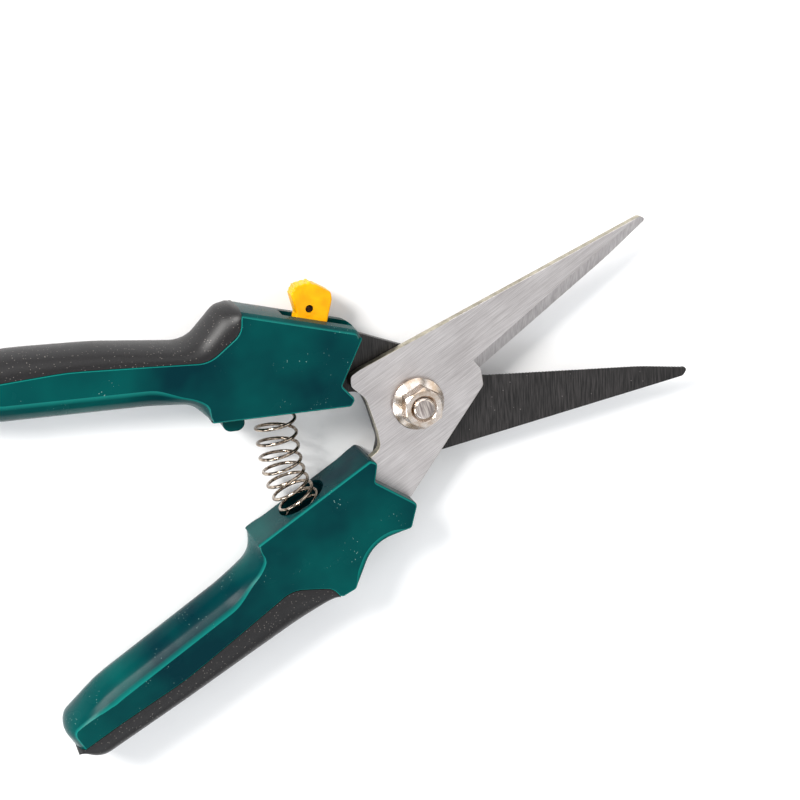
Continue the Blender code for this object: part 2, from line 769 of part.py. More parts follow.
def lock(parts, cutters, slide, body, mats):
    """The thumb button, the bar that it drives, their pin, and the leaf that holds them."""
    half_button = BUTTON_THICKNESS / 2
    pin_x, pin_y = LOCK_PIN_AT
    pin_radius = LOCK_PIN_DIAMETER / 2
    button = plate("lock_button", [button_outline(), ring(pin_x, pin_y, pin_radius + SEAT_GAP)],
                   -half_button, half_button, parts, slide, mats["button"])
    stem_room = box("stem_room", (pin_x - STEM_HALF_WIDTH - SEAT_GAP, BUTTON_FOOT - 1.0, BAR_LOW - SEAT_GAP),
                    (pin_x + STEM_HALF_WIDTH + SEAT_GAP, pin_y + STEM_ABOVE_PIN + SEAT_GAP,
                     BAR_HIGH + SEAT_GAP), cutters, slide)
    cut(button, stem_room)

    bar_low = BAR_TOP - BAR_DEPTH
    bar_outline = rounded([
        (BAR_TAIL, bar_low, 0.8), (BAR_TIP, bar_low, 0.5), (BAR_TIP, BAR_TOP, 0.5),
        (pin_x + STEM_HALF_WIDTH, BAR_TOP, 0.8),
        (pin_x + STEM_HALF_WIDTH, pin_y + STEM_ABOVE_PIN, 1.0),
        (pin_x - STEM_HALF_WIDTH, pin_y + STEM_ABOVE_PIN, 1.0),
        (pin_x - STEM_HALF_WIDTH, BAR_TOP, 0.8), (BAR_TAIL, BAR_TOP, 0.8),
    ])
    plate("lock_bar", [bar_outline, ring(pin_x, pin_y, pin_radius + SEAT_GAP)], BAR_LOW, BAR_HIGH,
          parts, slide, mats["steel"])
    pin = cylinder("lock_pin", pin_radius, -half_button + SEAT_GAP, half_button - SEAT_GAP, parts, slide,
                   mats["nickel"], sides=20)
    pin.location = (pin_x * MM, pin_y * MM, 0.0)

    # The slot and the bar's channel in the handle, long enough for the whole travel
    slot_low = BAR_TOP - 0.5
    back = BUTTON_BACK - LOCK_BACK_TRAVEL - LOCK_FIT
    front = BUTTON_FRONT + LOCK_TRAVEL + LOCK_FIT
    slot = box("lock_slot", (back, BUTTON_FOOT - LOCK_FIT, -half_button - LOCK_FIT),
               (front, 4.0, half_button + LOCK_FIT), cutters, body.parent)
    stem_slot = box("stem_slot",
                    (pin_x - STEM_HALF_WIDTH - LOCK_BACK_TRAVEL - LOCK_FIT, slot_low - OVERCUT, 0.0),
                    (pin_x + STEM_HALF_WIDTH + LOCK_TRAVEL + LOCK_FIT, BUTTON_FOOT + 1.0,
                     BAR_HIGH + LOCK_FIT), cutters, body.parent)
    channel = box("bar_channel", (BAR_TAIL - LOCK_BACK_TRAVEL - LOCK_FIT, bar_low - LOCK_FIT, 0.0),
                  (BAR_TIP + LOCK_TRAVEL + 6.0, BAR_TOP + LOCK_FIT, BAR_HIGH + LOCK_FIT), cutters,
                  body.parent)
    leaf_floor = bar_low - LOCK_FIT - LEAF_RISE - LEAF_THICKNESS
    leaf_room = box("leaf_room", (-LEAF_LENGTH / 2 - LOCK_FIT, leaf_floor - LOCK_FIT, 0.0),
                    (LEAF_LENGTH / 2 + LOCK_FIT, bar_low, BAR_HIGH + LOCK_FIT), cutters, body.parent)
    for cutter in (slot, stem_slot, channel, leaf_room):
        cutter.matrix_local = lock_place()
    cut(body, slot, stem_slot, channel, leaf_room)

    # The leaf is a shallow arc that bears on the bar's underside
    sag = LEAF_RISE
    bow = (LEAF_LENGTH**2 / 4 + sag**2) / (2 * sag)
    reach = math.asin(LEAF_LENGTH / 2 / bow)
    arcs = []
    for radius in (bow, bow - LEAF_THICKNESS):
        arcs.append([Vector((radius * math.sin(reach * k / 6), leaf_floor + LEAF_RISE - bow + LEAF_THICKNESS
                             + radius * math.cos(reach * k / 6))) for k in range(-6, 7)])
    leaf = plate("lock_leaf_spring", [[*arcs[0], *reversed(arcs[1])]], BAR_LOW, BAR_HIGH, parts,
                 body.parent, mats["steel"])
    leaf.matrix_local = lock_place()


def lock_place():
    """Where the lock's own frame lies on the upper half."""
    place = Matrix.Translation((LOCK_AT[0] * MM, LOCK_AT[1] * MM, 0.0))
    return place @ Matrix.Rotation(-math.radians(LOCK_SLOPE_DEG), 4, "Z")


def stop_boss(body, cutters, half):
    """The rounded stop under the upper handle's inner face."""
    low_end = -(INNER_FACE - STOP_CLEARANCE)
    outline = rounded([
        (STOP_X - STOP_RADIUS, INNER_FACE + 1.0, 0.0), (STOP_X - STOP_RADIUS, low_end, 2.2),
        (STOP_X + STOP_RADIUS, low_end, 2.2), (STOP_X + STOP_RADIUS, INNER_FACE + 1.0, 0.0),
    ])
    join(body, plate("stop_boss", [outline], -STOP_WIDTH / 2, STOP_WIDTH / 2, cutters, half))


def main():
    clear_scene()
    parts = new_collection("floral_snips")
    cutters = new_collection("cutters", visible=False)
    mats = {
        "body": material("teal_nylon", (0.006, 0.085, 0.075), roughness=0.3),
        "grip": material("black_rubber", (0.02, 0.02, 0.021), roughness=0.6),
        "black": material("black_coated_steel", (0.03, 0.03, 0.032), metallic=0.6, roughness=0.45),
        "bright": material("brushed_steel", (0.55, 0.52, 0.52), metallic=1.0, roughness=0.38),
        "nickel": material("nickel_plate", (0.72, 0.68, 0.6), metallic=1.0, roughness=0.2),
        "steel": material("spring_steel", (0.3, 0.3, 0.3), metallic=1.0, roughness=0.35),
        "button": material("yellow_acetal", (0.95, 0.55, 0.01), roughness=0.35),
    }
    centre = bpy.data.objects.new("pivot_axis", None)
    parts.objects.link(centre)
    centre.location = (0.0, 0.0, HALF * MM)
    halves = {}
    for name, side in (("upper", 1), ("lower", -1)):
        half = bpy.data.objects.new(f"{name}_half", None)
        parts.objects.link(half)
        half.parent = centre
        half.rotation_euler.z = -side * math.radians(HALF_OPENING_DEG)
        halves[name] = half
    slide = bpy.data.objects.new("lock_slide", None)
    parts.objects.link(slide)
    slide.parent = halves["upper"]
    slide.matrix_local = lock_place()
    bpy.context.view_layer.update()

    upper, lower = halves["upper"], halves["lower"]
    body = handle_body("upper", 1, upper_back, UPPER_POCKET_X, -BLADE_HIGH, -BLADE_LOW, parts, cutters,
                       upper, mats["body"])
    handle_body("lower", -1, lower_back, LOWER_POCKET_X, BLADE_LOW, BLADE_HIGH, parts, cutters, lower,
                mats["body"])
    for name, side, start, crest, fullness in (
            ("upper", 1, UPPER_GRIP_START, upper_crest(), UPPER_GRIP_FULLNESS),
            ("lower", -1, LOWER_GRIP_START, lower_crest(), LOWER_GRIP_FULLNESS)):
        half = halves[name]
        grip = grip_skin(f"{name}_grip", start, crest, fullness, side, parts, half, mats["grip"])
        cut(grip, rib(f"{name}_groove", SEAT_GAP, side, cutters, half))
    blade("black_blade", 1, BLACK_HEEL_DEPTH, BLACK_TIP_HEIGHT, -BLADE_HIGH, -BLADE_LOW, parts, cutters,
          upper, mats["black"])
    blade("bright_blade", -1, BRIGHT_HEEL_DEPTH, BRIGHT_TIP_HEIGHT, BLADE_LOW, BLADE_HIGH, parts, cutters,
          lower, mats["bright"])
    stop_boss(body, cutters, upper)
    pivot(parts, cutters, upper, mats)
    return_spring(parts, centre, mats["nickel"])
    lock(parts, cutters, slide, body, mats)
    for cutter in cutters.objects:
        cutter.hide_render = True
        cutter.display_type = "WIRE"
    bpy.context.view_layer.update()


main()
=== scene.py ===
import json
import math

import bmesh
import bpy
from mathutils import Matrix, Vector


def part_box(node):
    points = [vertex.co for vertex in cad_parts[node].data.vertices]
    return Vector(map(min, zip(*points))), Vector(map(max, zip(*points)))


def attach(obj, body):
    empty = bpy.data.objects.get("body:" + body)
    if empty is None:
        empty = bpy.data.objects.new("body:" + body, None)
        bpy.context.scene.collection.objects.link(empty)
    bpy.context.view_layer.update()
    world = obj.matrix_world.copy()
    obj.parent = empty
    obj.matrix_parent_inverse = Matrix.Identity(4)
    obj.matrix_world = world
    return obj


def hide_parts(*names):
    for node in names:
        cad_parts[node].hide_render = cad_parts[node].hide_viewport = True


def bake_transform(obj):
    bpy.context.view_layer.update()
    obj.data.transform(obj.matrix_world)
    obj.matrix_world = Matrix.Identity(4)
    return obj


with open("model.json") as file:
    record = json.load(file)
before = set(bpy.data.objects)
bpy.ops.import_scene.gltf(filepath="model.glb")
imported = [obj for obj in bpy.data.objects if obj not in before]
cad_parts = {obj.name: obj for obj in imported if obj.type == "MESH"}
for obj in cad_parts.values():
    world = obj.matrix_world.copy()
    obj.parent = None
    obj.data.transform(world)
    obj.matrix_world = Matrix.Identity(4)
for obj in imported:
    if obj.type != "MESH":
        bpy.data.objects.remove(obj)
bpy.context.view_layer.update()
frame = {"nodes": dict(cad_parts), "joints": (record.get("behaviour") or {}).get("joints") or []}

print("frame loaded:", len(frame["nodes"]), "nodes")

# Everything below is worked out in millimetres on the closed snips: x runs to the tips,
# y away from the other handle, z up from the plane where the blades touch
mm = 0.001
hinge = next(joint for joint in frame["joints"] if joint["name"] == "blade_pivot")
pivotAt = Vector(hinge["pos_m"])
opening = math.radians(-hinge["range_deg"][0] / 2)
bodyLow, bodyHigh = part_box("upper_body")
thick = (bodyHigh.z - bodyLow.z) / 2 / mm
sideOf = {"upper": 1, "lower": -1}


def halfPlace(half):
    turn = Matrix.Rotation(-sideOf[half] * opening, 4, "Z")
    return Matrix.Translation(pivotAt) @ turn @ Matrix.Scale(mm, 4)


# shaping tools that every piece shares

def filleted(corners, stepDeg=6.0, spacing=1.5):
    # corners are (x, y, radius); straight runs get a point every spacing
    points = []
    sharp = set()
    count = len(corners)
    for i, (x, y, radius) in enumerate(corners):
        here = Vector((x, y))
        before = Vector(corners[i - 1][:2]) - here
        after = Vector(corners[(i + 1) % count][:2]) - here
        turn = math.pi - before.angle(after)
        if radius <= 0 or turn < 0.01:
            points.append(here)
            sharp.add(len(points) - 1)
            continue
        reach = min(radius * math.tan(turn / 2), 0.49 * min(before.length, after.length))
        radius = reach / math.tan(turn / 2)
        middle = (before.normalized() + after.normalized()).normalized()
        centre = here + middle * math.hypot(radius, reach)
        arm = here + before.normalized() * reach - centre
        way = 1 if before.cross(after) < 0 else -1
        steps = max(2, round(math.degrees(turn) / stepDeg))
        points += [centre + Matrix.Rotation(way * turn * k / steps, 2) @ arm for k in range(steps + 1)]
    filled = []
    for i, a in enumerate(points):
        k = (i + 1) % len(points)
        length = (points[k] - a).length
        if length < 0.03:
            continue
        filled.append(a)
        # the runs beside a sharp corner stay bare, so that the corner can be drawn in
        first = 3.2 if i in sharp else 0.0
        last = length - (3.2 if k in sharp else 0.0)
        parts = math.ceil((last - first) / spacing)
        if parts > 1:
            inner = [first + (last - first) * j / parts for j in range(parts + 1)]
            filled += [a.lerp(points[k], reach / length) for reach in inner if 0.05 < reach < length - 0.05]
    return filled


def openLine(corners, stepDeg=6.0, spacing=1.5):
    # the same along an open line: the closing run and its points are left out
    points = filleted(corners, stepDeg, spacing)
    last = Vector(corners[-1][:2])
    end = min(range(len(points)), key=lambda i: (points[i] - last).length)
    return points[:end + 1]


def resampled(points, count):
    lengths = [0.0]
    for a, b in zip(points, points[1:]):
        lengths.append(lengths[-1] + (b - a).length)
    even = []
    k = 0
    for i in range(count):
        want = lengths[-1] * i / (count - 1)
        while k < len(points) - 2 and lengths[k + 1] < want:
            k += 1
        share = (want - lengths[k]) / (lengths[k + 1] - lengths[k])
        even.append(points[k].lerp(points[k + 1], min(1.0, share)))
    return even


def movedInward(outline, depthAt):
    # each run of the outline steps in by its own depth, and corners stay mitred
    area = sum(a.cross(b) for a, b in zip(outline, outline[1:] + outline[:1]))
    way = math.copysign(1.0, area)
    walls = []
    for a, b in zip(outline, outline[1:] + outline[:1]):
        run = (b - a).normalized()
        walls.append((Vector((-run.y, run.x)) * way, depthAt((a + b) / 2)))
    moved = []
    for i, point in enumerate(outline):
        (n1, d1), (n2, d2) = walls[i - 1], walls[i]
        pull = Matrix(((n1.x * n1.x + n2.x * n2.x + 0.05, n1.x * n1.y + n2.x * n2.y),
                       (n1.x * n1.y + n2.x * n2.y, n1.y * n1.y + n2.y * n2.y + 0.05)))
        moved.append(point + pull.inverted() @ (n1 * d1 + n2 * d2))
    return moved


def moulded(outline, levels, insetAt):
    # a block grown level by level, its outline drawn in by insetAt(point, z)
    bm = bmesh.new()
    first = movedInward(outline, lambda p: insetAt(p, levels[0]))
    cap = bm.faces.new([bm.verts.new((p.x, p.y, levels[0])) for p in first])
    for z in levels[1:]:
        under = cap
        grown = bmesh.ops.extrude_face_region(bm, geom=[cap])["geom"]
        cap = next(face for face in grown if isinstance(face, bmesh.types.BMFace))
        if z != levels[1]:
            bmesh.ops.delete(bm, geom=[under], context="FACES_ONLY")
        for vert, p in zip(cap.verts, movedInward(outline, lambda q: insetAt(q, z))):
            vert.co = (p.x, p.y, z)
    bmesh.ops.recalc_face_normals(bm, faces=bm.faces)
    return bm


def rimRound(z, face, radius):
    # how far a quarter round at the face z = face has drawn the wall in
    over = radius - abs(face - z)
    if over <= 0:
        return 0.0
    return radius - math.sqrt(max(0.0, radius * radius - over * over))


def block(low, high):
    bm = bmesh.new()
    bmesh.ops.create_cube(bm, size=1.0)
    bmesh.ops.scale(bm, vec=[b - a for a, b in zip(low, high)], verts=bm.verts)
    bmesh.ops.translate(bm, vec=[(a + b) / 2 for a, b in zip(low, high)], verts=bm.verts)
    return bm


def rod(radius, low, high, sides=64, turn=None):
    bm = bmesh.new()
    bmesh.ops.create_cone(bm, cap_ends=True, segments=sides, radius1=radius,
                          radius2=radius, depth=high - low)
    bmesh.ops.translate(bm, vec=(0.0, 0.0, (low + high) / 2), verts=bm.verts)
    if turn:
        bmesh.ops.transform(bm, matrix=turn, verts=bm.verts)
    return bm


def spun(profile, sides=96):
    # profile is (radius, z) from the axis or the bore outwards and back
    bm = bmesh.new()
    verts = [bm.verts.new((r, 0.0, z)) for r, z in profile]
    edges = [bm.edges.new(pair) for pair in zip(verts, verts[1:])]
    if profile[0][0] > 0:
        edges.append(bm.edges.new((verts[-1], verts[0])))
    bmesh.ops.spin(bm, geom=verts + edges, axis=(0.0, 0.0, 1.0), cent=(0.0, 0.0, 0.0),
                   angle=math.tau, steps=sides, use_merge=True, use_duplicate=False)
    bmesh.ops.remove_doubles(bm, verts=bm.verts, dist=1e-4)
    bmesh.ops.recalc_face_normals(bm, faces=bm.faces)
    return bm


def looseObject(bm, name):
    mesh = bpy.data.meshes.new(name)
    bm.to_mesh(mesh)
    bm.free()
    loose = bpy.data.objects.new(name, mesh)
    bpy.context.scene.collection.objects.link(loose)
    return loose


def carved(bm, *steps):
    # steps are (operation, bmesh); gives a new bmesh with them all applied
    base = looseObject(bm, "carving")
    tools = []
    for operation, tool in steps:
        tools.append(looseObject(tool, "tool"))
        change = base.modifiers.new("cut", "BOOLEAN")
        change.operation = operation
        change.solver = "EXACT"
        change.object = tools[-1]
    bpy.context.view_layer.update()
    shape = base.evaluated_get(bpy.context.evaluated_depsgraph_get())
    result = bmesh.new()
    result.from_mesh(bpy.data.meshes.new_from_object(shape))
    for loose in [base, *tools]:
        bpy.data.objects.remove(loose, do_unlink=True)
    return result


def rounded(bm, picked, width, segments=2):
    edges = [edge for edge in bm.edges if picked(edge)]
    bmesh.ops.bevel(bm, geom=edges, offset=width, offset_type="OFFSET", segments=segments,
                    profile=0.5, affect="EDGES", material=-1, clamp_overlap=True)


def sharpEdge(edge, angle=0.6):
    return len(edge.link_faces) == 2 and edge.calc_face_angle(0.0) > angle


def makePiece(name, bm, place, finishes, body=None, stands=(), facesOf=None, creaseDeg=34.0,
              weighted=True):
    bmesh.ops.remove_doubles(bm, verts=bm.verts, dist=1e-4)
    bmesh.ops.recalc_face_normals(bm, faces=bm.faces)
    for face in bm.faces:
        face.smooth = True
        face.material_index = facesOf(face) if facesOf else 0
    for edge in bm.edges:
        edge.smooth = not sharpEdge(edge, math.radians(creaseDeg))
    bmesh.ops.transform(bm, matrix=place, verts=bm.verts)
    mesh = bpy.data.meshes.new(name)
    bm.to_mesh(mesh)
    bm.free()
    for finish in finishes:
        mesh.materials.append(finish)
    piece = bpy.data.objects.new(name, mesh)
    bpy.context.scene.collection.objects.link(piece)
    if weighted:
        flatten = piece.modifiers.new("flat faces", "WEIGHTED_NORMAL")
        flatten.keep_sharp = True
    if body:
        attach(piece, body)
    if stands:
        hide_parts(*stands)
    return piece


# tools that every finish shares

def toLinear(hexColour):
    parts = [int(hexColour[i:i + 2], 16) / 255 for i in (1, 3, 5)]
    return (*[c / 12.92 if c <= 0.04045 else ((c + 0.055) / 1.055) ** 2.4 for c in parts], 1.0)


def newFinish(name, **sockets):
    finish = bpy.data.materials.new(name)
    finish.use_nodes = True
    shader = finish.node_tree.nodes["Principled BSDF"]
    for socket, value in sockets.items():
        shader.inputs[socket.replace("_", " ")].default_value = value
    return finish, finish.node_tree, shader


def addNode(tree, kind, settings=None, links=None):
    node = tree.nodes.new(kind)
    for key, value in (settings or {}).items():
        if isinstance(key, int) or key in node.inputs:
            node.inputs[key].default_value = value
        else:
            setattr(node, key, value)
    for key, source in (links or {}).items():
        tree.links.new(source, node.inputs[key])
    return node


def perMm(size):
    # a noise or voronoi scale whose features are about size millimetres across
    return 1.0 / (size * mm)


# Glass-filled nylon, gloss moulded: deep green that drifts a little, a faint orange-peel skin,
# and the dust specks that such a surface always carries
# rim is the painted highlight colour for the thin rim under the near face
nylonLook = {"deep": "#00272e", "fresh": "#004846", "speck": "#a9cfc6", "rim": "#1c9a8e", "roughness": 0.22,
             "driftMm": 26.0, "peelMm": 0.5, "speckMm": 0.9}


def makeNylon():
    look = nylonLook
    finish, tree, shader = newFinish("glassFilledNylonGlossMoulded", Specular_IOR_Level=0.05)
    at = addNode(tree, "ShaderNodeTexCoord").outputs["Object"]
    drift = addNode(tree, "ShaderNodeTexNoise", {"Scale": perMm(look["driftMm"]), "Detail": 3.0},
                    {"Vector": at})
    share = addNode(tree, "ShaderNodeMapRange", {"From Min": 0.35, "From Max": 0.68},
                    {"Value": drift.outputs["Fac"]})
    base = addNode(tree, "ShaderNodeMix", {"data_type": "RGBA", 6: toLinear(look["deep"]),
                                           7: toLinear(look["fresh"])},
                   {0: share.outputs["Result"]})
    dust = addNode(tree, "ShaderNodeTexVoronoi", {"Scale": perMm(look["speckMm"]), "Randomness": 1.0},
                   {"Vector": at})
    patch = addNode(tree, "ShaderNodeTexNoise", {"Scale": perMm(7.0), "Detail": 2.0}, {"Vector": at})
    size = addNode(tree, "ShaderNodeMapRange", {"From Min": 0.5, "From Max": 0.75, "To Min": 0.0,
                                                "To Max": 0.17},
                   {"Value": patch.outputs["Fac"]})
    isSpeck = addNode(tree, "ShaderNodeMath", {"operation": "LESS_THAN"},
                      {0: dust.outputs["Distance"], 1: size.outputs["Result"]})
    faint = addNode(tree, "ShaderNodeMath", {"operation": "MULTIPLY", 1: 0.45}, {0: isSpeck.outputs[0]})
    colour = addNode(tree, "ShaderNodeMix", {"data_type": "RGBA", 7: toLinear(look["speck"])},
                     {0: faint.outputs[0], 6: base.outputs[2]})
    # painted highlight: the thin rim just under the near face is painted a paler teal by its height, in place
    # of the light caught along the rounded near edges
    height = addNode(tree, "ShaderNodeSeparateXYZ", {}, {"Vector": at}).outputs["Z"]
    paintedRimHighlight = addNode(tree, "ShaderNodeMapRange", {"From Min": (2 * thick - 0.8) * mm,
                                                   "From Max": (2 * thick - 0.1) * mm,
                                                   "To Max": 0.4}, {"Value": height})
    underFace = addNode(tree, "ShaderNodeMath", {"operation": "LESS_THAN", 1: (2 * thick - 0.03) * mm},
                        {0: height})
    paintedHighlightShare = addNode(tree, "ShaderNodeMath", {"operation": "MULTIPLY"},
                    {0: paintedRimHighlight.outputs["Result"], 1: underFace.outputs[0]})
    colour = addNode(tree, "ShaderNodeMix", {"data_type": "RGBA", 7: toLinear(look["rim"])},
                     {0: paintedHighlightShare.outputs[0], 6: colour.outputs[2]})
    tree.links.new(colour.outputs[2], shader.inputs["Base Color"])
    haze = addNode(tree, "ShaderNodeMapRange", {"To Min": look["roughness"] - 0.05,
                                                "To Max": look["roughness"] + 0.12},
                   {"Value": patch.outputs["Fac"]})
    tree.links.new(haze.outputs["Result"], shader.inputs["Roughness"])
    peel = addNode(tree, "ShaderNodeTexNoise", {"Scale": perMm(look["peelMm"]), "Detail": 2.0},
                   {"Vector": at})
    wave = addNode(tree, "ShaderNodeTexNoise", {"Scale": perMm(6.0), "Detail": 1.0}, {"Vector": at})
    both = addNode(tree, "ShaderNodeMath", {"operation": "MULTIPLY_ADD", 1: 5.0},
                   {0: wave.outputs["Fac"], 2: peel.outputs["Fac"]})
    bump = addNode(tree, "ShaderNodeBump", {"Strength": 0.1, "Distance": 0.03 * mm},
                   {"Height": both.outputs[0]})
    tree.links.new(bump.outputs["Normal"], shader.inputs["Normal"])
    return finish


# Thermoplastic rubber, moulded over the nylon: nearly black, with a fine spark-eroded grain,
# and sparse pale specks painted into its colour as painted glints of light on that grain
rubberLook = {"low": "#0b0a0b", "high": "#1a181a", "glint": "#a39c95", "grainMm": 0.28, "roughness": 0.42}


def makeRubber():
    look = rubberLook
    finish, tree, shader = newFinish("thermoplasticRubberSparkGrain", IOR=1.49, Roughness=look["roughness"],
                                     Specular_IOR_Level=0.4, Sheen_Weight=0.02, Sheen_Roughness=0.4)
    at = addNode(tree, "ShaderNodeTexCoord").outputs["Object"]
    grain = addNode(tree, "ShaderNodeTexNoise", {"Scale": perMm(look["grainMm"]), "Detail": 3.0,
                                                 "Roughness": 0.7},
                    {"Vector": at})
    share = addNode(tree, "ShaderNodeMapRange", {"From Min": 0.35, "From Max": 0.65},
                    {"Value": grain.outputs["Fac"]})
    base = addNode(tree, "ShaderNodeMix", {"data_type": "RGBA", 6: toLinear(look["low"]),
                                           7: toLinear(look["high"])},
                   {0: share.outputs["Result"]})
    # painted highlight: these sparse pale specks in the colour stand in for glints
    paintedGlintDots = addNode(tree, "ShaderNodeTexVoronoi", {"Scale": perMm(0.8), "Randomness": 1.0}, {"Vector": at})
    isPaintedGlint = addNode(tree, "ShaderNodeMath", {"operation": "LESS_THAN", 1: 0.14},
                      {0: paintedGlintDots.outputs["Distance"]})
    faint = addNode(tree, "ShaderNodeMath", {"operation": "MULTIPLY", 1: 0.4}, {0: isPaintedGlint.outputs[0]})
    colour = addNode(tree, "ShaderNodeMix", {"data_type": "RGBA", 7: toLinear(look["glint"])},
                     {0: faint.outputs[0], 6: base.outputs[2]})
    tree.links.new(colour.outputs[2], shader.inputs["Base Color"])
    bump = addNode(tree, "ShaderNodeBump", {"Strength": 0.5, "Distance": 0.05 * mm},
                   {"Height": grain.outputs["Fac"]})
    tree.links.new(bump.outputs["Normal"], shader.inputs["Normal"])
    return finish


# Stainless strip, brushed along the blade: pale with a rosy cast from the fine lines.
# turnDeg lays the lines along the blade, and across cuts them over it for the ground edge
brushedLook = {"dark": "#b6b1b1", "light": "#dedada", "lineMm": 0.16, "runMm": 9.0, "roughness": 0.38}


def makeBrushedSteel(name, turnDeg, lineMm, runMm, dark, light, roughness, strength):
    finish, tree, shader = newFinish(name, Metallic=1.0)
    at = addNode(tree, "ShaderNodeTexCoord").outputs["Object"]
    # the lines are turned flat first, then drawn out along their own x
    flat = addNode(tree, "ShaderNodeMapping", {"Rotation": (0.0, 0.0, math.radians(-turnDeg))},
                   {"Vector": at})
    drawn = addNode(tree, "ShaderNodeMapping", {"Scale": (lineMm / runMm, 1.0, 0.2)},
                    {"Vector": flat.outputs["Vector"]})
    lines = addNode(tree, "ShaderNodeTexNoise", {"Scale": perMm(lineMm), "Detail": 4.0, "Roughness": 0.65},
                    {"Vector": drawn.outputs["Vector"]})
    cloud = addNode(tree, "ShaderNodeTexNoise", {"Scale": perMm(12.0), "Detail": 3.0}, {"Vector": at})
    mixed = addNode(tree, "ShaderNodeMath", {"operation": "MULTIPLY_ADD", 1: 0.35},
                    {0: cloud.outputs["Fac"], 2: lines.outputs["Fac"]})
    share = addNode(tree, "ShaderNodeMapRange", {"From Min": 0.5, "From Max": 0.85},
                    {"Value": mixed.outputs[0]})
    base = addNode(tree, "ShaderNodeMix", {"data_type": "RGBA", 6: toLinear(dark), 7: toLinear(light)},
                   {0: share.outputs["Result"]})
    tree.links.new(base.outputs[2], shader.inputs["Base Color"])
    rough = addNode(tree, "ShaderNodeMapRange", {"From Min": 0.3, "From Max": 0.7, "To Min": roughness - 0.08,
                                                 "To Max": roughness + 0.1}, {"Value": lines.outputs["Fac"]})
    tree.links.new(rough.outputs["Result"], shader.inputs["Roughness"])
    bump = addNode(tree, "ShaderNodeBump", {"Strength": strength, "Distance": 0.02 * mm},
                   {"Height": lines.outputs["Fac"]})
    tree.links.new(bump.outputs["Normal"], shader.inputs["Normal"])
    return finish


# Low-friction black coating baked on ground steel: the cross grinding shows through it as fine
# upright lines, and handling leaves a few pale nicks
coatLook = {"low": "#161515", "high": "#3a3737", "nick": "#8a8583", "lineMm": 0.3, "runMm": 6.0,
            "roughness": 0.42}


def makeCoatedSteel():
    look = coatLook
    finish, tree, shader = newFinish("blackCoatedSteelCrossGround", Metallic=0.35, IOR=1.5)
    at = addNode(tree, "ShaderNodeTexCoord").outputs["Object"]
    flat = addNode(tree, "ShaderNodeMapping", {"Rotation": (0.0, 0.0, opening)}, {"Vector": at})
    drawn = addNode(tree, "ShaderNodeMapping", {"Scale": (1.0, look["lineMm"] / look["runMm"], 0.3)},
                    {"Vector": flat.outputs["Vector"]})
    lines = addNode(tree, "ShaderNodeTexNoise", {"Scale": perMm(look["lineMm"]), "Detail": 3.0,
                                                 "Roughness": 0.6},
                    {"Vector": drawn.outputs["Vector"]})
    share = addNode(tree, "ShaderNodeMapRange", {"From Min": 0.38, "From Max": 0.66},
                    {"Value": lines.outputs["Fac"]})
    base = addNode(tree, "ShaderNodeMix", {"data_type": "RGBA", 6: toLinear(look["low"]),
                                           7: toLinear(look["high"])},
                   {0: share.outputs["Result"]})
    spots = addNode(tree, "ShaderNodeTexVoronoi", {"Scale": perMm(2.2), "Randomness": 1.0}, {"Vector": at})
    isNick = addNode(tree, "ShaderNodeMath", {"operation": "LESS_THAN", 1: 0.06},
                     {0: spots.outputs["Distance"]})
    faint = addNode(tree, "ShaderNodeMath", {"operation": "MULTIPLY", 1: 0.55}, {0: isNick.outputs[0]})
    colour = addNode(tree, "ShaderNodeMix", {"data_type": "RGBA", 7: toLinear(look["nick"])},
                     {0: faint.outputs[0], 6: base.outputs[2]})
    tree.links.new(colour.outputs[2], shader.inputs["Base Color"])
    rough = addNode(tree, "ShaderNodeMapRange", {"To Min": look["roughness"] - 0.1,
                                                 "To Max": look["roughness"] + 0.15},
                    {"Value": lines.outputs["Fac"]})
    tree.links.new(rough.outputs["Result"], shader.inputs["Roughness"])
    bump = addNode(tree, "ShaderNodeBump", {"Strength": 0.35, "Distance": 0.03 * mm},
                   {"Height": lines.outputs["Fac"]})
    tree.links.new(bump.outputs["Normal"], shader.inputs["Normal"])
    return finish


# Bright nickel over turned or drawn steel: a mirror with a warm cast and faint tool lines; the darker warm
# tone mixed in along the lines is partly painted reflection. slashed adds the coarse file marks on the
# riveted bolt end
def makeNickel(name, colour, lineToneAndPaintedReflection, roughness, lineMm, strength, slashed=False):
    finish, tree, shader = newFinish(name, Metallic=1.0)
    at = addNode(tree, "ShaderNodeTexCoord").outputs["Object"]
    drawn = addNode(tree, "ShaderNodeMapping", {"Rotation": (0.0, 0.0, 1.1), "Scale": (1.0, 0.12, 0.6)},
                    {"Vector": at})
    source = drawn.outputs["Vector"] if slashed else at
    lines = addNode(tree, "ShaderNodeTexNoise", {"Scale": perMm(lineMm), "Detail": 3.0, "Roughness": 0.6},
                    {"Vector": source})
    share = addNode(tree, "ShaderNodeMapRange", {"From Min": 0.35, "From Max": 0.65},
                    {"Value": lines.outputs["Fac"]})
    base = addNode(tree, "ShaderNodeMix", {"data_type": "RGBA", 6: toLinear(lineToneAndPaintedReflection), 7: toLinear(colour)},
                   {0: share.outputs["Result"]})
    tree.links.new(base.outputs[2], shader.inputs["Base Color"])
    rough = addNode(tree, "ShaderNodeMapRange", {"To Min": roughness - 0.05, "To Max": roughness + 0.1},
                    {"Value": lines.outputs["Fac"]})
    tree.links.new(rough.outputs["Result"], shader.inputs["Roughness"])
    bump = addNode(tree, "ShaderNodeBump", {"Strength": strength, "Distance": 0.04 * mm},
                   {"Height": lines.outputs["Fac"]})
    tree.links.new(bump.outputs["Normal"], shader.inputs["Normal"])
    return finish


# Acetal, gloss moulded: strong yellow that lets a little light in, warmer where it is thick
acetalLook = {"deep": "#ee9a00", "fresh": "#f6b600", "roughness": 0.34}


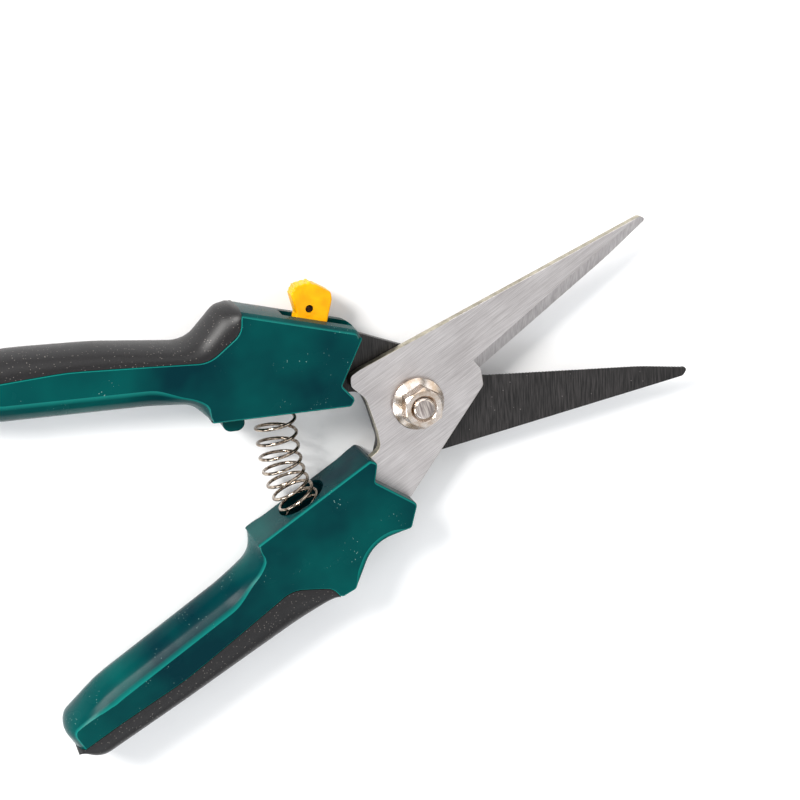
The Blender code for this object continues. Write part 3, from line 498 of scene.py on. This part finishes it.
def makeAcetal():
    look = acetalLook
    finish, tree, shader = newFinish("acetalGlossMoulded", IOR=1.48, Subsurface_Weight=0.25,
                                     Subsurface_Scale=1.2 * mm, Specular_IOR_Level=0.2)
    shader.inputs["Subsurface Radius"].default_value = (1.0, 0.55, 0.1)
    at = addNode(tree, "ShaderNodeTexCoord").outputs["Object"]
    drift = addNode(tree, "ShaderNodeTexNoise", {"Scale": perMm(4.0), "Detail": 2.0}, {"Vector": at})
    share = addNode(tree, "ShaderNodeMapRange", {"From Min": 0.3, "From Max": 0.7},
                    {"Value": drift.outputs["Fac"]})
    base = addNode(tree, "ShaderNodeMix", {"data_type": "RGBA", 6: toLinear(look["deep"]),
                                           7: toLinear(look["fresh"])},
                   {0: share.outputs["Result"]})
    tree.links.new(base.outputs[2], shader.inputs["Base Color"])
    rough = addNode(tree, "ShaderNodeMapRange", {"To Min": look["roughness"] - 0.06,
                                                 "To Max": look["roughness"] + 0.1},
                    {"Value": drift.outputs["Fac"]})
    tree.links.new(rough.outputs["Result"], shader.inputs["Roughness"])
    peel = addNode(tree, "ShaderNodeTexNoise", {"Scale": perMm(0.4), "Detail": 2.0}, {"Vector": at})
    bump = addNode(tree, "ShaderNodeBump", {"Strength": 0.12, "Distance": 0.03 * mm},
                   {"Height": peel.outputs["Fac"]})
    tree.links.new(bump.outputs["Normal"], shader.inputs["Normal"])
    return finish


openDeg = math.degrees(opening)
nylon = makeNylon()
rubber = makeRubber()
brushed = makeBrushedSteel("stainlessSteelBrushed", openDeg, brushedLook["lineMm"], brushedLook["runMm"],
                           brushedLook["dark"], brushedLook["light"], brushedLook["roughness"], 0.35)
# the edge is ground across the blade: lines about 0.5 mm apart
ground = makeBrushedSteel("stainlessSteelGroundEdge", openDeg + 62.0, 0.5, 5.0, "#d2cccd", "#f2eeee", 0.4,
                          0.4)
# the sheared sides of the blade keep a warmer, brighter, rougher skin
sheared = makeBrushedSteel("stainlessSteelShearedSide", openDeg, 0.4, 3.0, "#8d8675", "#c2bba9", 0.42, 0.2)
coated = makeCoatedSteel()
# painted reflection: the warm brown line tone of the nut, washer and bolt partly stands in for warm dark
# reflections
nickel = makeNickel("nickelPlatedSteelTurned", "#e4dcd6", "#c0ab96", 0.2, 3.0, 0.015)
boltEnd = makeNickel("nickelPlatedSteelFiledEnd", "#d8cfc8", "#8d8280", 0.3, 0.5, 0.6, slashed=True)
# painted reflection: the spring wire's dark brown tone stands in for the dark reflections along the coils
wireFinish = makeNickel("nickelPlatedSpringWire", "#c9bbab", "#5a4636", 0.1, 0.8, 0.12)
# painted shade: the lock pin is coloured nearly black to stand for the shade in the button's hole
pinPaintedHoleShade = makeNickel("lockPinPaintedShade", "#4a3528", "#120d0c", 0.35, 0.7, 0.3)
springSteel = makeNickel("springSteelRolled", "#8f8a86", "#55504d", 0.32, 0.6, 0.3)
acetal = makeAcetal()
print("finishes made")


# the handles and their grips

handleShape = {
    "innerFace": 2.8, "gripStart": -46.9, "end": -126.0,
    "front": [(-21.6, 8.6, 0.8), (-18.2, 4.7, 1.1), (-19.4, 2.8, 1.1)],
    "fingerSide": [(-56.0, 2.8, 1.2), (-60.6, 7.0, 6.0), (-72.0, 7.6, 40.0), (-112.0, 8.2, 30.0),
                   (-126.0, 12.0, 6.0)],
    "upperBack": [(-46.9, 31.2, 0.0), (-14.6, 22.5, 2.4)],
    "lowerBack": [(-46.9, 29.4, 1.2), (-42.4, 29.9, 1.4), (-31.5, 22.3, 17.0), (-20.9, 25.6, 1.2),
                  (-15.9, 21.0, 1.4)],
    "lip": [(-47.3, 25.6, 5.0), (-56.0, 18.9, 8.0), (-72.0, 19.8, 40.0), (-92.0, 20.8, 60.0),
            (-112.0, 19.6, 30.0), (-126.0, 19.2, 0.0)],
    "edge": 0.7, "farEdge": 1.0, "farRound": 2.0, "lipEdge": 0.35,
    "creaseDeg": 62.0, "fingerDepth": 6.2, "facetDepth": 3.2,
    "topCrown": 0.5, "topBand": 0.9, "bandWidth": 1.6, "scoopChamfer": 1.0,
    "levels": 9,
}


def ramp(value, low, high):
    share = min(1.0, max(0.0, (value - low) / (high - low)))
    return share * share * (3 - 2 * share)


def fingerDepth(x):
    # the finger side starts with a narrow facet at the step and opens into a full round
    shape = handleShape
    start = ramp(-x, 56.4, 59.0)
    widen = ramp(-x, 60.0, 72.0)
    close = 1.0 - 0.6 * ramp(-x, 110.0, 125.0)
    deep = shape["facetDepth"] + (shape["fingerDepth"] - shape["facetDepth"]) * widen
    return shape["edge"] + (deep * close - shape["edge"]) * start


def bodyInset(half):
    shape = handleShape
    bend = math.radians(shape["creaseDeg"])

    def inset(p, z):
        onLip = p.x < shape["gripStart"] + 0.02 and p.y > 18.0
        if onLip:
            return rimRound(z, thick, shape["lipEdge"]) + rimRound(z, -thick, shape["lipEdge"])
        if p.x < -56.5 and p.y < 18.0:
            leaning = math.asin(min(1.0, abs(z) / thick) * math.sin(bend))
            return fingerDepth(p.x) * (1 - math.cos(leaning)) / (1 - math.cos(bend))
        # the far edges are softer along the straight runs
        straight = ramp(p.x, -54.0, -50.0) * (1.0 - ramp(p.x, -26.0, -21.0))
        far = rimRound(z, -thick, shape["farEdge"] + (shape["farRound"] - shape["farEdge"]) * straight)
        if half == "upper" and p.y > 21.0:
            # the back is slightly crowned and has a flat band along the near side
            band = max(0.0, z - thick + shape["bandWidth"]) / shape["bandWidth"] * shape["topBand"]
            return shape["topCrown"] * (z / thick) ** 2 + band + far
        edges = rimRound(z, thick, shape["edge"])
        if half == "lower" and p.y > 20.0:
            # the scoop has a wide, shallow chamfer that dies out at both ends
            scoop = ramp(p.x, -42.0, -38.0) * (1.0 - ramp(p.x, -26.0, -22.0)) * shape["scoopChamfer"]
            return edges + max(0.0, z - thick + shape["edge"]) / shape["edge"] * scoop + rimRound(z, -thick,
                1.0)
        edges += far
        return edges
    return inset


def bodyLevels():
    shape = handleShape
    edgeSteps = [thick - shape["edge"] * (1 - math.sin(math.pi / 2 * k / 5)) for k in range(6)]
    farSteps = [-thick + shape["farRound"] * (1 - math.sin(math.pi / 2 * k / 8)) for k in range(8, -1, -1)]
    plain = [farSteps[-1] + (edgeSteps[0] - farSteps[-1]) * k / shape["levels"] for k in range(1,
        shape["levels"])]
    extra = [thick - shape["bandWidth"], thick - shape["lipEdge"], thick - shape["lipEdge"] * 0.3]
    # the lowest level stays a hair above the ground, so that rounding can't put it below
    farSteps[0] = -thick + 0.002
    return sorted(set(round(z, 4) for z in [*farSteps, *plain, *edgeSteps, *extra]))


springShape = {"pocketX": {"upper": -38.3, "lower": -39.6}, "seatX": {"upper": -38.3, "lower": -40.4},
               "diameter": 11.5, "wire": 0.9, "turns": 11.8, "startTurn": 0.7, "upperBow": 2.1,
               "lowerBow": 0.85,
               "taper": 0.34, "level": -0.5, "pocket": 7.0, "depth": 8.0}
tangShape = {"top": 17.6, "low": 12.2, "end": -51.0, "gap": 0.3, "step": -30.1}


def tangCorners(gap):
    tang = tangShape
    return [(-19.4, tang["top"] + gap, 0.8), (tang["end"] - gap, tang["top"] + gap, 1.5),
            (tang["end"] - gap, tang["low"] - gap, 1.5), (tang["step"] - gap, tang["low"] - gap, 1.0),
            (tang["step"] - gap, 5.2 - gap, 1.0)]


def flipped(bm, half):
    bmesh.ops.scale(bm, vec=(1.0, sideOf[half], 1.0), verts=bm.verts)
    bmesh.ops.recalc_face_normals(bm, faces=bm.faces)
    return bm


def springPocket(half):
    # the pocket is square to the inner face
    along = Matrix.Translation((springShape["pocketX"][half], 0.0,
                                springShape["level"])) @ Matrix.Rotation(-math.pi / 2, 4, "X")
    return rod(springShape["pocket"], -1.0, handleShape["innerFace"] + springShape["depth"], turn=along)


def tangSlot(low, high):
    gap = tangShape["gap"]
    corners = [(-12.0, 22.4 + gap, 0.0), (-16.6, 20.6 + gap, 0.0), *tangCorners(gap), (-12.0, 3.0, 0.0)]
    return moulded(filleted(corners), [low - gap, high + gap], lambda p, z: 0.0)


def handleBody(half):
    shape = handleShape
    corners = [*shape[f"{half}Back"], *shape["front"], *shape["fingerSide"], *reversed(shape["lip"])]
    bm = moulded(filleted(corners, spacing=1.0), bodyLevels(), bodyInset(half))
    low, high = (-2.65, -0.15) if half == "upper" else (0.15, 2.65)
    steps = [("DIFFERENCE", springPocket(half)), ("DIFFERENCE", tangSlot(low, high))]
    if half == "upper":
        steps += [("UNION", stopBoss()), ("DIFFERENCE", lockSlot()), ("DIFFERENCE", barChannel()),
                  ("DIFFERENCE", leafRoom())]
    bm = carved(bm, *steps)
    pocket = springShape["pocket"]

    def onPocketRim(edge):
        middle = (edge.verts[0].co + edge.verts[1].co) / 2
        away = math.hypot(middle.x - springShape["pocketX"][half], middle.z - springShape["level"])
        return abs(away - pocket) < 0.1 and abs(middle.y - shape["innerFace"]) < 0.05
    rounded(bm, onPocketRim, 0.3, 2)
    bm = flipped(bm, half)
    return makePiece(f"{half}Body", bm, halfPlace(half), [nylon], f"{half}_half",
                     [f"{half}_body"], creaseDeg=28.0)


def stopBoss():
    # the rounded stop under the upper handle's inner face
    corners = [(-52.7, 3.8, 0.0), (-52.7, -1.3, 2.2), (-46.9, -1.3, 2.2), (-46.9, 3.8, 0.0)]
    return moulded(filleted(corners), [-3.5, -3.2, 3.2, 3.5], lambda p,
                   z: rimRound(z, 3.5, 0.3) + rimRound(z, -3.5, 0.3))


gripShape = {
    "upperCrest": [(-46.95, 31.7, 0.0), (-49.0, 32.4, 1.8), (-52.4, 31.9, 3.6), (-60.6, 23.2, 8.0),
                   (-84.0, 25.8, 60.0), (-106.0, 26.6, 60.0), (-123.0, 25.2, 6.0), (-125.8, 19.5, 0.0)],
    "lowerCrest": [(-46.95, 29.4, 0.0), (-100.0, 26.8, 60.0), (-123.0, 25.6, 6.0), (-125.8, 19.5, 0.0)],
    "upperLip": [(-46.95, 30.3, 0.0)], "lowerLip": [(-46.95, 28.9, 0.0)],
    "upperFullness": 2.0, "lowerFullness": 3.2,
    "gap": 0.12, "sunk": 0.18, "stations": 110, "arc": 26,
}


def handleGrip(half):
    # the soft grip is one skin drawn from the near lip over the crest to the far lip
    shape = gripShape
    lip = openLine([*shape[f"{half}Lip"], *[(x - shape["gap"], y + shape["gap"], r) for x, y,
                                            r in handleShape["lip"]]])
    crest = openLine(shape[f"{half}Crest"])
    lip = resampled(lip, shape["stations"])
    crest = resampled(crest, shape["stations"])
    power = 2.0 / shape[f"{half}Fullness"]
    top = thick - shape["sunk"]
    # how far each point round the section goes from the lip to the crest, and its height
    section = [(0.0, top - 2.5), (0.0, top - 0.35), (0.004, top - 0.1)]
    for k in range(1, shape["arc"]):
        angle = math.pi / 2 - math.pi * k / shape["arc"]
        rise = math.copysign(abs(math.sin(angle)) ** power, math.sin(angle))
        section.append((math.cos(angle) ** power, top * rise))
    section += [(0.004, -top + 0.1), (0.0, -top + 0.35), (0.0, -top + 2.5), (0.0, top - 2.5)]
    bm = bmesh.new()
    bmesh.ops.create_grid(bm, x_segments=shape["stations"] - 1, y_segments=len(section) - 1, size=0.5)
    for vert in bm.verts:
        i = round((vert.co.x + 0.5) * (shape["stations"] - 1))
        out, z = section[round((vert.co.y + 0.5) * (len(section) - 1))]
        at = lip[i].lerp(crest[i], out)
        vert.co = (at.x, at.y, z)
    bmesh.ops.remove_doubles(bm, verts=bm.verts, dist=1e-3)
    bmesh.ops.holes_fill(bm, edges=[edge for edge in bm.edges if edge.is_boundary], sides=0)
    bm = flipped(bm, half)
    return makePiece(f"{half}Grip", bm, halfPlace(half), [rubber], f"{half}_half",
                     [f"{half}_grip"], creaseDeg=40.0, weighted=False)


# the lock, in its own frame: x along the slide, y out of the handle's back

lockShape = {
    "at": (-27.9, 26.4), "slopeDeg": 15.0, "backTravel": 3.5, "travel": 6.5, "fit": 0.4,
    "thickness": 5.0, "front": 4.9, "back": -3.6, "foot": -3.0, "pinAt": (-0.6, 2.2), "pinDiameter": 1.8,
    "lobe": [(-6.2, 5.2, 0.8), (-5.5, 7.5, 0.8), (-1.8, 9.2, 1.6), (4.2, 7.4, 1.2), (4.9, 5.6, 1.0)],
    "rounding": 0.45, "bar": ((-6.0, -9.4), (11.0, -6.6)), "barRoom": 1.9, "leaf": 9.0, "leafFloor": -11.9,
}


def lockPlace():
    spot = Matrix.Translation((*lockShape["at"], 0.0))
    return spot @ Matrix.Rotation(-math.radians(lockShape["slopeDeg"]), 4, "Z")


def lockSlot():
    lock = lockShape
    half = lock["thickness"] / 2 + lock["fit"]
    bm = block((lock["back"] - lock["backTravel"] - lock["fit"], lock["foot"] - lock["fit"], -half),
               (lock["front"] + lock["travel"] + lock["fit"], 6.0, half))
    bmesh.ops.transform(bm, matrix=lockPlace(), verts=bm.verts)
    return bm


def barChannel():
    # where the bar and its leaf spring lie under the slot
    lock = lockShape
    (tail, low), (tip, top) = lock["bar"]
    bm = block((tail - lock["backTravel"] - lock["fit"], low - lock["fit"], 0.0),
               (tip + lock["travel"] + lock["fit"], top + lock["fit"], lock["barRoom"]))
    bmesh.ops.transform(bm, matrix=lockPlace(), verts=bm.verts)
    return bm


def leafRoom():
    lock = lockShape
    reach = lock["leaf"] / 2 + lock["fit"]
    bm = block((-reach, lock["leafFloor"], 0.0), (reach, lock["bar"][0][1], lock["barRoom"]))
    bmesh.ops.transform(bm, matrix=lockPlace(), verts=bm.verts)
    return bm


def thumbButton():
    lock = lockShape
    half = lock["thickness"] / 2
    lobe = [(lock["back"], lock["foot"], 0.6), (lock["back"], 0.4, 1.0), *lock["lobe"],
            (lock["front"], 0.4, 1.0),
            (lock["front"], lock["foot"], 0.6)]
    outline = filleted(lobe, spacing=0.4)
    edge = lock["rounding"]
    levels = [-half, -half + 0.13 * edge, -half + 0.5 * edge, -half + edge, -half * 0.4, half * 0.4,
              half - edge, half - 0.5 * edge, half - 0.13 * edge, half]

    def inset(p, z):
        # small grip ridges run over the lobe's back corner
        along = p.x * 0.5 + p.y * 0.87
        ridged = p.y > 4.6 and p.x < -0.5
        groove = 0.28 * (0.5 - 0.5 * math.cos(math.tau * along / 1.15)) if ridged else 0.0
        return rimRound(z, half, edge) + rimRound(z, -half, edge) + groove
    bm = moulded(outline, levels, inset)
    x, y = lock["pinAt"]
    hole = rod(lock["pinDiameter"] / 2 + 0.15, -half - 1.0, half + 1.0, sides=40)
    bmesh.ops.translate(hole, vec=(x, y, 0.0), verts=hole.verts)
    room = block((x - 2.1, lock["foot"] - 1.0, 0.0), (x + 2.1, y + 2.5, 1.8))
    bm = carved(bm, ("DIFFERENCE", hole), ("DIFFERENCE", room))
    return makePiece("thumbButton", bm, halfPlace("upper") @ lockPlace(), [acetal], "lock",
                     ["lock_button"], creaseDeg=32.0)


for half in sideOf:
    handleBody(half)
    handleGrip(half)
    print(half, "handle made")
thumbButton()
print("button made")


# the two blades

bladeShape = {
    "tip": 78.86, "tipHeight": {"upper": 1.95, "lower": 3.35}, "tipRadius": 1.5, "spineDrop": 0.7,
              "heelX": 19.0,
    "heelDepth": {"upper": 4.55, "lower": 3.55}, "bendBack": 14.0, "bendRise": 3.5,
              "spineStart": (-7.4, -17.3),
    "low": 0.15, "high": 2.65, "bevelWidth": 3.6, "edge": 0.45, "rim": 0.22,
    "toothPitch": 0.95, "toothDepth": 0.22,
}


def bladeCorners(half):
    blade = bladeShape
    tip, radius, height = blade["tip"], blade["tipRadius"], blade["tipHeight"][half]
    return [(*blade["spineStart"], 2.0), (tip - radius, -height - blade["spineDrop"], radius),
            (tip, radius - height, radius), (tip - blade["bendBack"], blade["bendRise"] - height, 60.0),
            (blade["heelX"], blade["heelDepth"][half], 0.6), (17.2, 7.5, 1.5), (-16.4, 20.8, 1.2),
            *tangCorners(0.0),
            (-14.9, 4.2, 3.0), (-13.0, -0.4, 4.0), (-10.5, -9.6, 5.0), (-11.9, -15.0, 1.6),
            (-10.4, -17.4, 1.6)]


def bladePiece(name, half, finishes, stands, serrated):
    blade = bladeShape
    low, high, rim = blade["low"], blade["high"], blade["rim"]
    outline = filleted(bladeCorners(half), spacing=blade["toothPitch"] / 4 if serrated else 1.5)
    heel = Vector((blade["heelX"], blade["heelDepth"][half]))
    bend = Vector((blade["tip"] - blade["bendBack"], blade["bendRise"] - blade["tipHeight"][half]))
    rise = (bend - heel).normalized()
    across = Vector((rise.y, -rise.x))

    def inset(p, z):
        worn = rimRound(z, high, rim) + rimRound(z, low, rim * 0.5)
        onEdge = serrated and heel.x + 1.0 < p.x < blade["tip"] - 1.5 and (p - heel).dot(across) < 2.2
        if not onEdge:
            return worn
        along = (p - heel).dot(rise) / blade["toothPitch"]
        return worn + blade["toothDepth"] * abs(2 * (along % 1.0) - 1)
    levels = [low, low + rim * 0.25, low + rim * 0.5, high - rim, high - rim * 0.5, high - rim * 0.15, high]
    bm = moulded(outline, levels, inset)
    # the ground strip is a wedge taken off along the edge
    steep = (high - low - blade["edge"]) / blade["bevelWidth"]
    wedge = bmesh.new()
    profile = [(-1.5, low + blade["edge"] - 1.5 * steep), (blade["bevelWidth"], high),
               (blade["bevelWidth"], high + 2.0), (-1.5, high + 2.0)]
    # the section stands on the heel, square to the edge
    face = wedge.faces.new([wedge.verts.new((*(heel + across * out), z)) for out, z in profile])
    grown = bmesh.ops.extrude_face_region(wedge, geom=[face])["geom"]
    far = [item for item in grown if isinstance(item, bmesh.types.BMVert)]
    bmesh.ops.translate(wedge, vec=(*(rise * (blade["tip"] - heel.x + 6.0)), 0.0), verts=far)
    bmesh.ops.recalc_face_normals(wedge, faces=wedge.faces)
    bm = carved(bm, ("DIFFERENCE", wedge), ("DIFFERENCE", rod(3.3, low - 1.0, high + 1.0)))

    def facesOf(face):
        if len(finishes) == 1:
            return 0
        if abs(face.normal.z) > 0.95:
            return 0
        return 1 if abs(face.normal.z) > 0.6 and face.calc_center_median().x > 18.5 else 2
    if half == "upper":
        # the black blade lies under the bright one, its ground side down
        bmesh.ops.scale(bm, vec=(1.0, 1.0, -1.0), verts=bm.verts)
    bm = flipped(bm, half)
    return makePiece(name, bm, halfPlace(half), finishes, f"{half}_half", stands, facesOf,
                     creaseDeg=20.0)


bladePiece("blackBlade", "upper", [coated], ["black_blade"], True)
bladePiece("brightBlade", "lower", [brushed, ground, sheared], ["bright_blade"], False)
print("blades made")


# the pivot: bolt, washer and flange nut

pivotShape = {
    "bolt": 3.0, "proud": 0.4, "gap": 0.3, "washer": 6.25, "washerThick": 1.4,
    "nutFlats": 10.0, "nutHeight": 6.0, "flange": 7.1, "flangeThick": 1.1, "headFlats": 10.0,
}


def pivotPlace():
    # one flat of the nut faces back along the handles
    return Matrix.Translation(pivotAt) @ Matrix.Rotation(math.radians(-18.0), 4, "Z") @ Matrix.Scale(mm, 4)


def flangeNut():
    part = pivotShape
    low = bladeShape["high"] + part["gap"]
    top = low + part["nutHeight"]
    flats = part["nutFlats"] / 2
    corner = part["nutFlats"] / math.sqrt(3.0)
    bore = part["bolt"] + 0.1
    flange = spun([(bore, low), (part["flange"] - 0.3, low), (part["flange"], low + 0.15),
                   (part["flange"], low + part["flangeThick"] - 0.2),
                   (part["flange"] - 0.2, low + part["flangeThick"]),
                   (flats, low + part["flangeThick"] + 1.15), (bore, low + part["flangeThick"] + 1.15)])
    hexagon = rod(corner, low + 0.5, top, sides=6)
    rounded(hexagon, lambda edge: abs(edge.verts[0].co.z - edge.verts[1].co.z) > 1.0, 0.25, 3)
    # a cone over the corners leaves the usual turned chamfer on the nut's top
    coneTop = spun([(0.0, low), (corner + 0.4, low), (corner + 0.4, top - 0.95), (flats - 0.15, top),
                    (0.0, top)])
    hexagon = carved(hexagon, ("INTERSECT", coneTop))
    countersink = spun([(0.0, top - 1.0), (bore, top - 1.0), (bore, top - 0.55), (bore + 0.65, top + 0.1),
                        (0.0, top + 0.1)])
    bm = carved(flange, ("UNION", hexagon), ("DIFFERENCE", rod(bore, low - 1.0, top + 1.0)),
                ("DIFFERENCE", countersink))
    return makePiece("flangeNut", bm, pivotPlace(), [nickel], "upper_half", ["flange_nut"],
                     creaseDeg=24.0)


def pivotBolt():
    part = pivotShape
    washerTop = -bladeShape["high"] - part["gap"]
    headTop = washerTop - part["washerThick"] - part["gap"]
    end = bladeShape["high"] + part["gap"] + part["nutHeight"] + part["proud"]
    radius = part["bolt"]
    shank = spun([(0.0, end), (radius - 0.62, end), (radius - 0.5, end - 0.04), (radius - 0.08, end - 0.42),
                  (radius, end - 0.6), (radius, headTop - 0.5), (0.0, headTop - 0.5)])
    corner = part["headFlats"] / math.sqrt(3.0)
    flats = part["headFlats"] / 2
    head = rod(corner, -thick + 0.01, headTop, sides=6)
    dome = spun([(0.0, -thick), (flats - 0.2, -thick), (corner + 0.4, -thick + 0.9), (corner + 0.4, headTop),
                 (0.0, headTop)])
    head = carved(head, ("INTERSECT", dome))
    bm = carved(shank, ("UNION", head))

    def facesOf(face):
        return 1 if face.normal.z > 0.95 and face.calc_center_median().z > end - 0.2 else 0
    return makePiece("pivotBolt", bm, pivotPlace(), [nickel, boltEnd], "upper_half",
                     ["pivot_bolt"], facesOf, creaseDeg=30.0)


def pivotWasher():
    part = pivotShape
    top = -bladeShape["high"] - part["gap"]
    low = top - part["washerThick"]
    outer, inner = part["washer"], part["bolt"] + 0.3
    bm = spun([(inner, low + 0.1), (inner + 0.1, low), (outer - 0.2, low), (outer, low + 0.2),
               (outer, top - 0.2),
               (outer - 0.2, top), (inner + 0.1, top), (inner, top - 0.1)])
    return makePiece("pivotWasher", bm, pivotPlace(), [nickel], "upper_half",
                     ["pivot_washer"],
                     creaseDeg=40.0)


flangeNut()
pivotBolt()
pivotWasher()
print("pivot made")


# the return spring

def springSeat(half):
    spin = Matrix.Rotation(-sideOf[half] * opening, 2)
    seat = handleShape["innerFace"] + springShape["depth"] - 0.3 - springShape["wire"] / 2
    return spin @ Vector((springShape["seatX"][half], seat * sideOf[half])), spin @ Vector((0.0, -1.0))


def springAxis(t):
    # the centre line leaves both seats squarely and bends between them
    (a, leaveA), (b, leaveB) = springSeat("upper"), springSeat("lower")
    leaveA *= (a - b).length * springShape["upperBow"]
    leaveB *= (a - b).length * springShape["lowerBow"]
    h = (2 * t**3 - 3 * t**2 + 1, t**3 - 2 * t**2 + t, 3 * t**2 - 2 * t**3, t**3 - t**2)
    k = (6 * t**2 - 6 * t, 3 * t**2 - 4 * t + 1, 6 * t - 6 * t**2, 3 * t**2 - 2 * t)
    at = a * h[0] + leaveA * h[1] + b * h[2] + leaveB * h[3]
    along = a * k[0] + leaveA * k[1] + b * k[2] + leaveB * k[3]
    return at, along.normalized()


def evenShare(share):
    # where on the centre line a share of its length is reached
    steps = 80
    line = [springAxis(k / steps)[0] for k in range(steps + 1)]
    lengths = [0.0]
    for a, b in zip(line, line[1:]):
        lengths.append(lengths[-1] + (b - a).length)
    want = share * lengths[-1]
    k = max(i for i in range(steps) if lengths[i] <= want + 1e-9)
    return (k + (want - lengths[k]) / (lengths[k + 1] - lengths[k])) / steps


def returnSpring():
    spring = springShape
    curve = bpy.data.curves.new("springWire", "CURVE")
    curve.dimensions = "3D"
    curve.bevel_depth = spring["wire"] / 2
    curve.bevel_resolution = 3
    curve.use_fill_caps = True
    line = curve.splines.new("POLY")
    perTurn = 40
    count = round(spring["turns"] * perTurn) + 1
    line.points.add(count - 1)
    radius = (spring["diameter"] - spring["wire"]) / 2
    for i, point in enumerate(line.points):
        share = i / (count - 1)
        # the pitch narrows towards the lower end
        at, along = springAxis(evenShare(share + spring["taper"] * share * (1 - share)))
        across = Vector((-along.y, along.x))
        angle = math.tau * (spring["turns"] * share + spring["startTurn"])
        place = at + across * radius * math.cos(angle)
        point.co = (place.x, place.y, radius * math.sin(angle) + spring["level"], 1.0)
    coil = bpy.data.objects.new("springWire", curve)
    bpy.context.scene.collection.objects.link(coil)
    bpy.context.view_layer.update()
    bm = bmesh.new()
    bm.from_mesh(bpy.data.meshes.new_from_object(coil.evaluated_get(bpy.context.evaluated_depsgraph_get())))
    bpy.data.objects.remove(coil, do_unlink=True)
    place = Matrix.Translation(pivotAt) @ Matrix.Scale(mm, 4)
    piece = makePiece("returnSpring", bm, place, [wireFinish], None, ["return_spring"],
                      creaseDeg=50.0, weighted=False)
    for half in sideOf:
        at = springSeat(half)[0]
    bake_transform(piece)
    return piece


returnSpring()
print("spring made")

# the lock's hidden steel parts keep their CAD shape; the bar and leaf spring get their real finish, and the
# pin gets a painted shade, dark as the shadow in its hole
for name, finish in (("lock_bar", springSteel), ("lock_pin", pinPaintedHoleShade), ("lock_leaf_spring", springSteel)):
    shape = frame["nodes"][name]
    for slotIndex in range(len(shape.material_slots)):
        shape.material_slots[slotIndex].material = finish


# the floor, the light and the camera

def studio():
    floorFinish, tree, shader = newFinish("paperSweep", Roughness=0.9, Emission_Strength=0.02)
    shader.inputs["Emission Color"].default_value = (1.0, 1.0, 1.0, 1.0)
    at = addNode(tree, "ShaderNodeTexCoord").outputs["Object"]
    fibre = addNode(tree, "ShaderNodeTexNoise", {"Scale": 40.0, "Detail": 3.0}, {"Vector": at})
    tone = addNode(tree, "ShaderNodeMix", {"data_type": "RGBA", 6: toLinear("#f4f4f5"),
                                           7: toLinear("#fbfbfb")},
                   {0: fibre.outputs["Fac"]})
    tree.links.new(tone.outputs[2], shader.inputs["Base Color"])
    bm = bmesh.new()
    bmesh.ops.create_grid(bm, x_segments=2, y_segments=2, size=4.0)
    floor = looseObject(bm, "floor")
    floor.data.materials.append(floorFinish)
    for name, place, aim, size, power, tint in (
            ("keyLight", (-0.55, 0.75, 0.65), (0.0, 0.0, 0.0), 0.35, 15.0, (1.0, 0.985, 0.96)),
            ("topPanel", (0.25, -0.35, 1.3), (0.0, 0.0, 0.0), 1.2, 2.5, (1.0, 1.0, 1.0)),
            ("backLight", (0.35, 1.0, 0.7), (0.0, 0.0, 0.0), 0.9, 4.0, (1.0, 1.0, 1.0)),
            ("frontPanel", (-0.3, -0.9, 0.8), (0.0, 0.0, 0.0), 0.9, 4.0, (0.93, 0.97, 1.0)),
            ("sideLight", (-1.0, -0.15, 0.5), (0.0, 0.0, 0.0), 0.5, 5.0, (0.9, 0.95, 1.0)),
            ("fillLight", (1.0, 0.1, 0.8), (0.0, 0.0, 0.0), 0.9, 3.5, (0.98, 0.99, 1.0))):
        lamp = bpy.data.lights.new(name, "AREA")
        lamp.size = size
        lamp.energy = power
        lamp.color = tint
        holder = bpy.data.objects.new(name, lamp)
        holder.location = place
        holder.rotation_euler = (Vector(aim) - Vector(place)).to_track_quat("-Z", "Y").to_euler()
        bpy.context.scene.collection.objects.link(holder)
    world = bpy.data.worlds.new("studioAir")
    world.use_nodes = True
    world.node_tree.nodes["Background"].inputs["Color"].default_value = (1.0, 1.0, 1.0, 1.0)
    world.node_tree.nodes["Background"].inputs["Strength"].default_value = 0.3
    bpy.context.scene.world = world
    bpy.context.scene.view_settings.view_transform = "Standard"


cameraShape = {
    "sensor": 36.0, "lens": 99.26, "nearest": 0.01,
    "place": (-0.107557, 0.204364, 0.546415), "turnDeg": (-15.914, -16.751, -18.190),
}


def camera():
    lens = bpy.data.cameras.new("camera")
    lens.sensor_width = cameraShape["sensor"]
    lens.lens = cameraShape["lens"]
    lens.clip_start = cameraShape["nearest"]
    holder = bpy.data.objects.new("camera", lens)
    holder.location = cameraShape["place"]
    holder.rotation_euler = [math.radians(turn) for turn in cameraShape["turnDeg"]]
    bpy.context.scene.collection.objects.link(holder)
    bpy.context.scene.camera = holder


studio()
camera()
print("studio made")
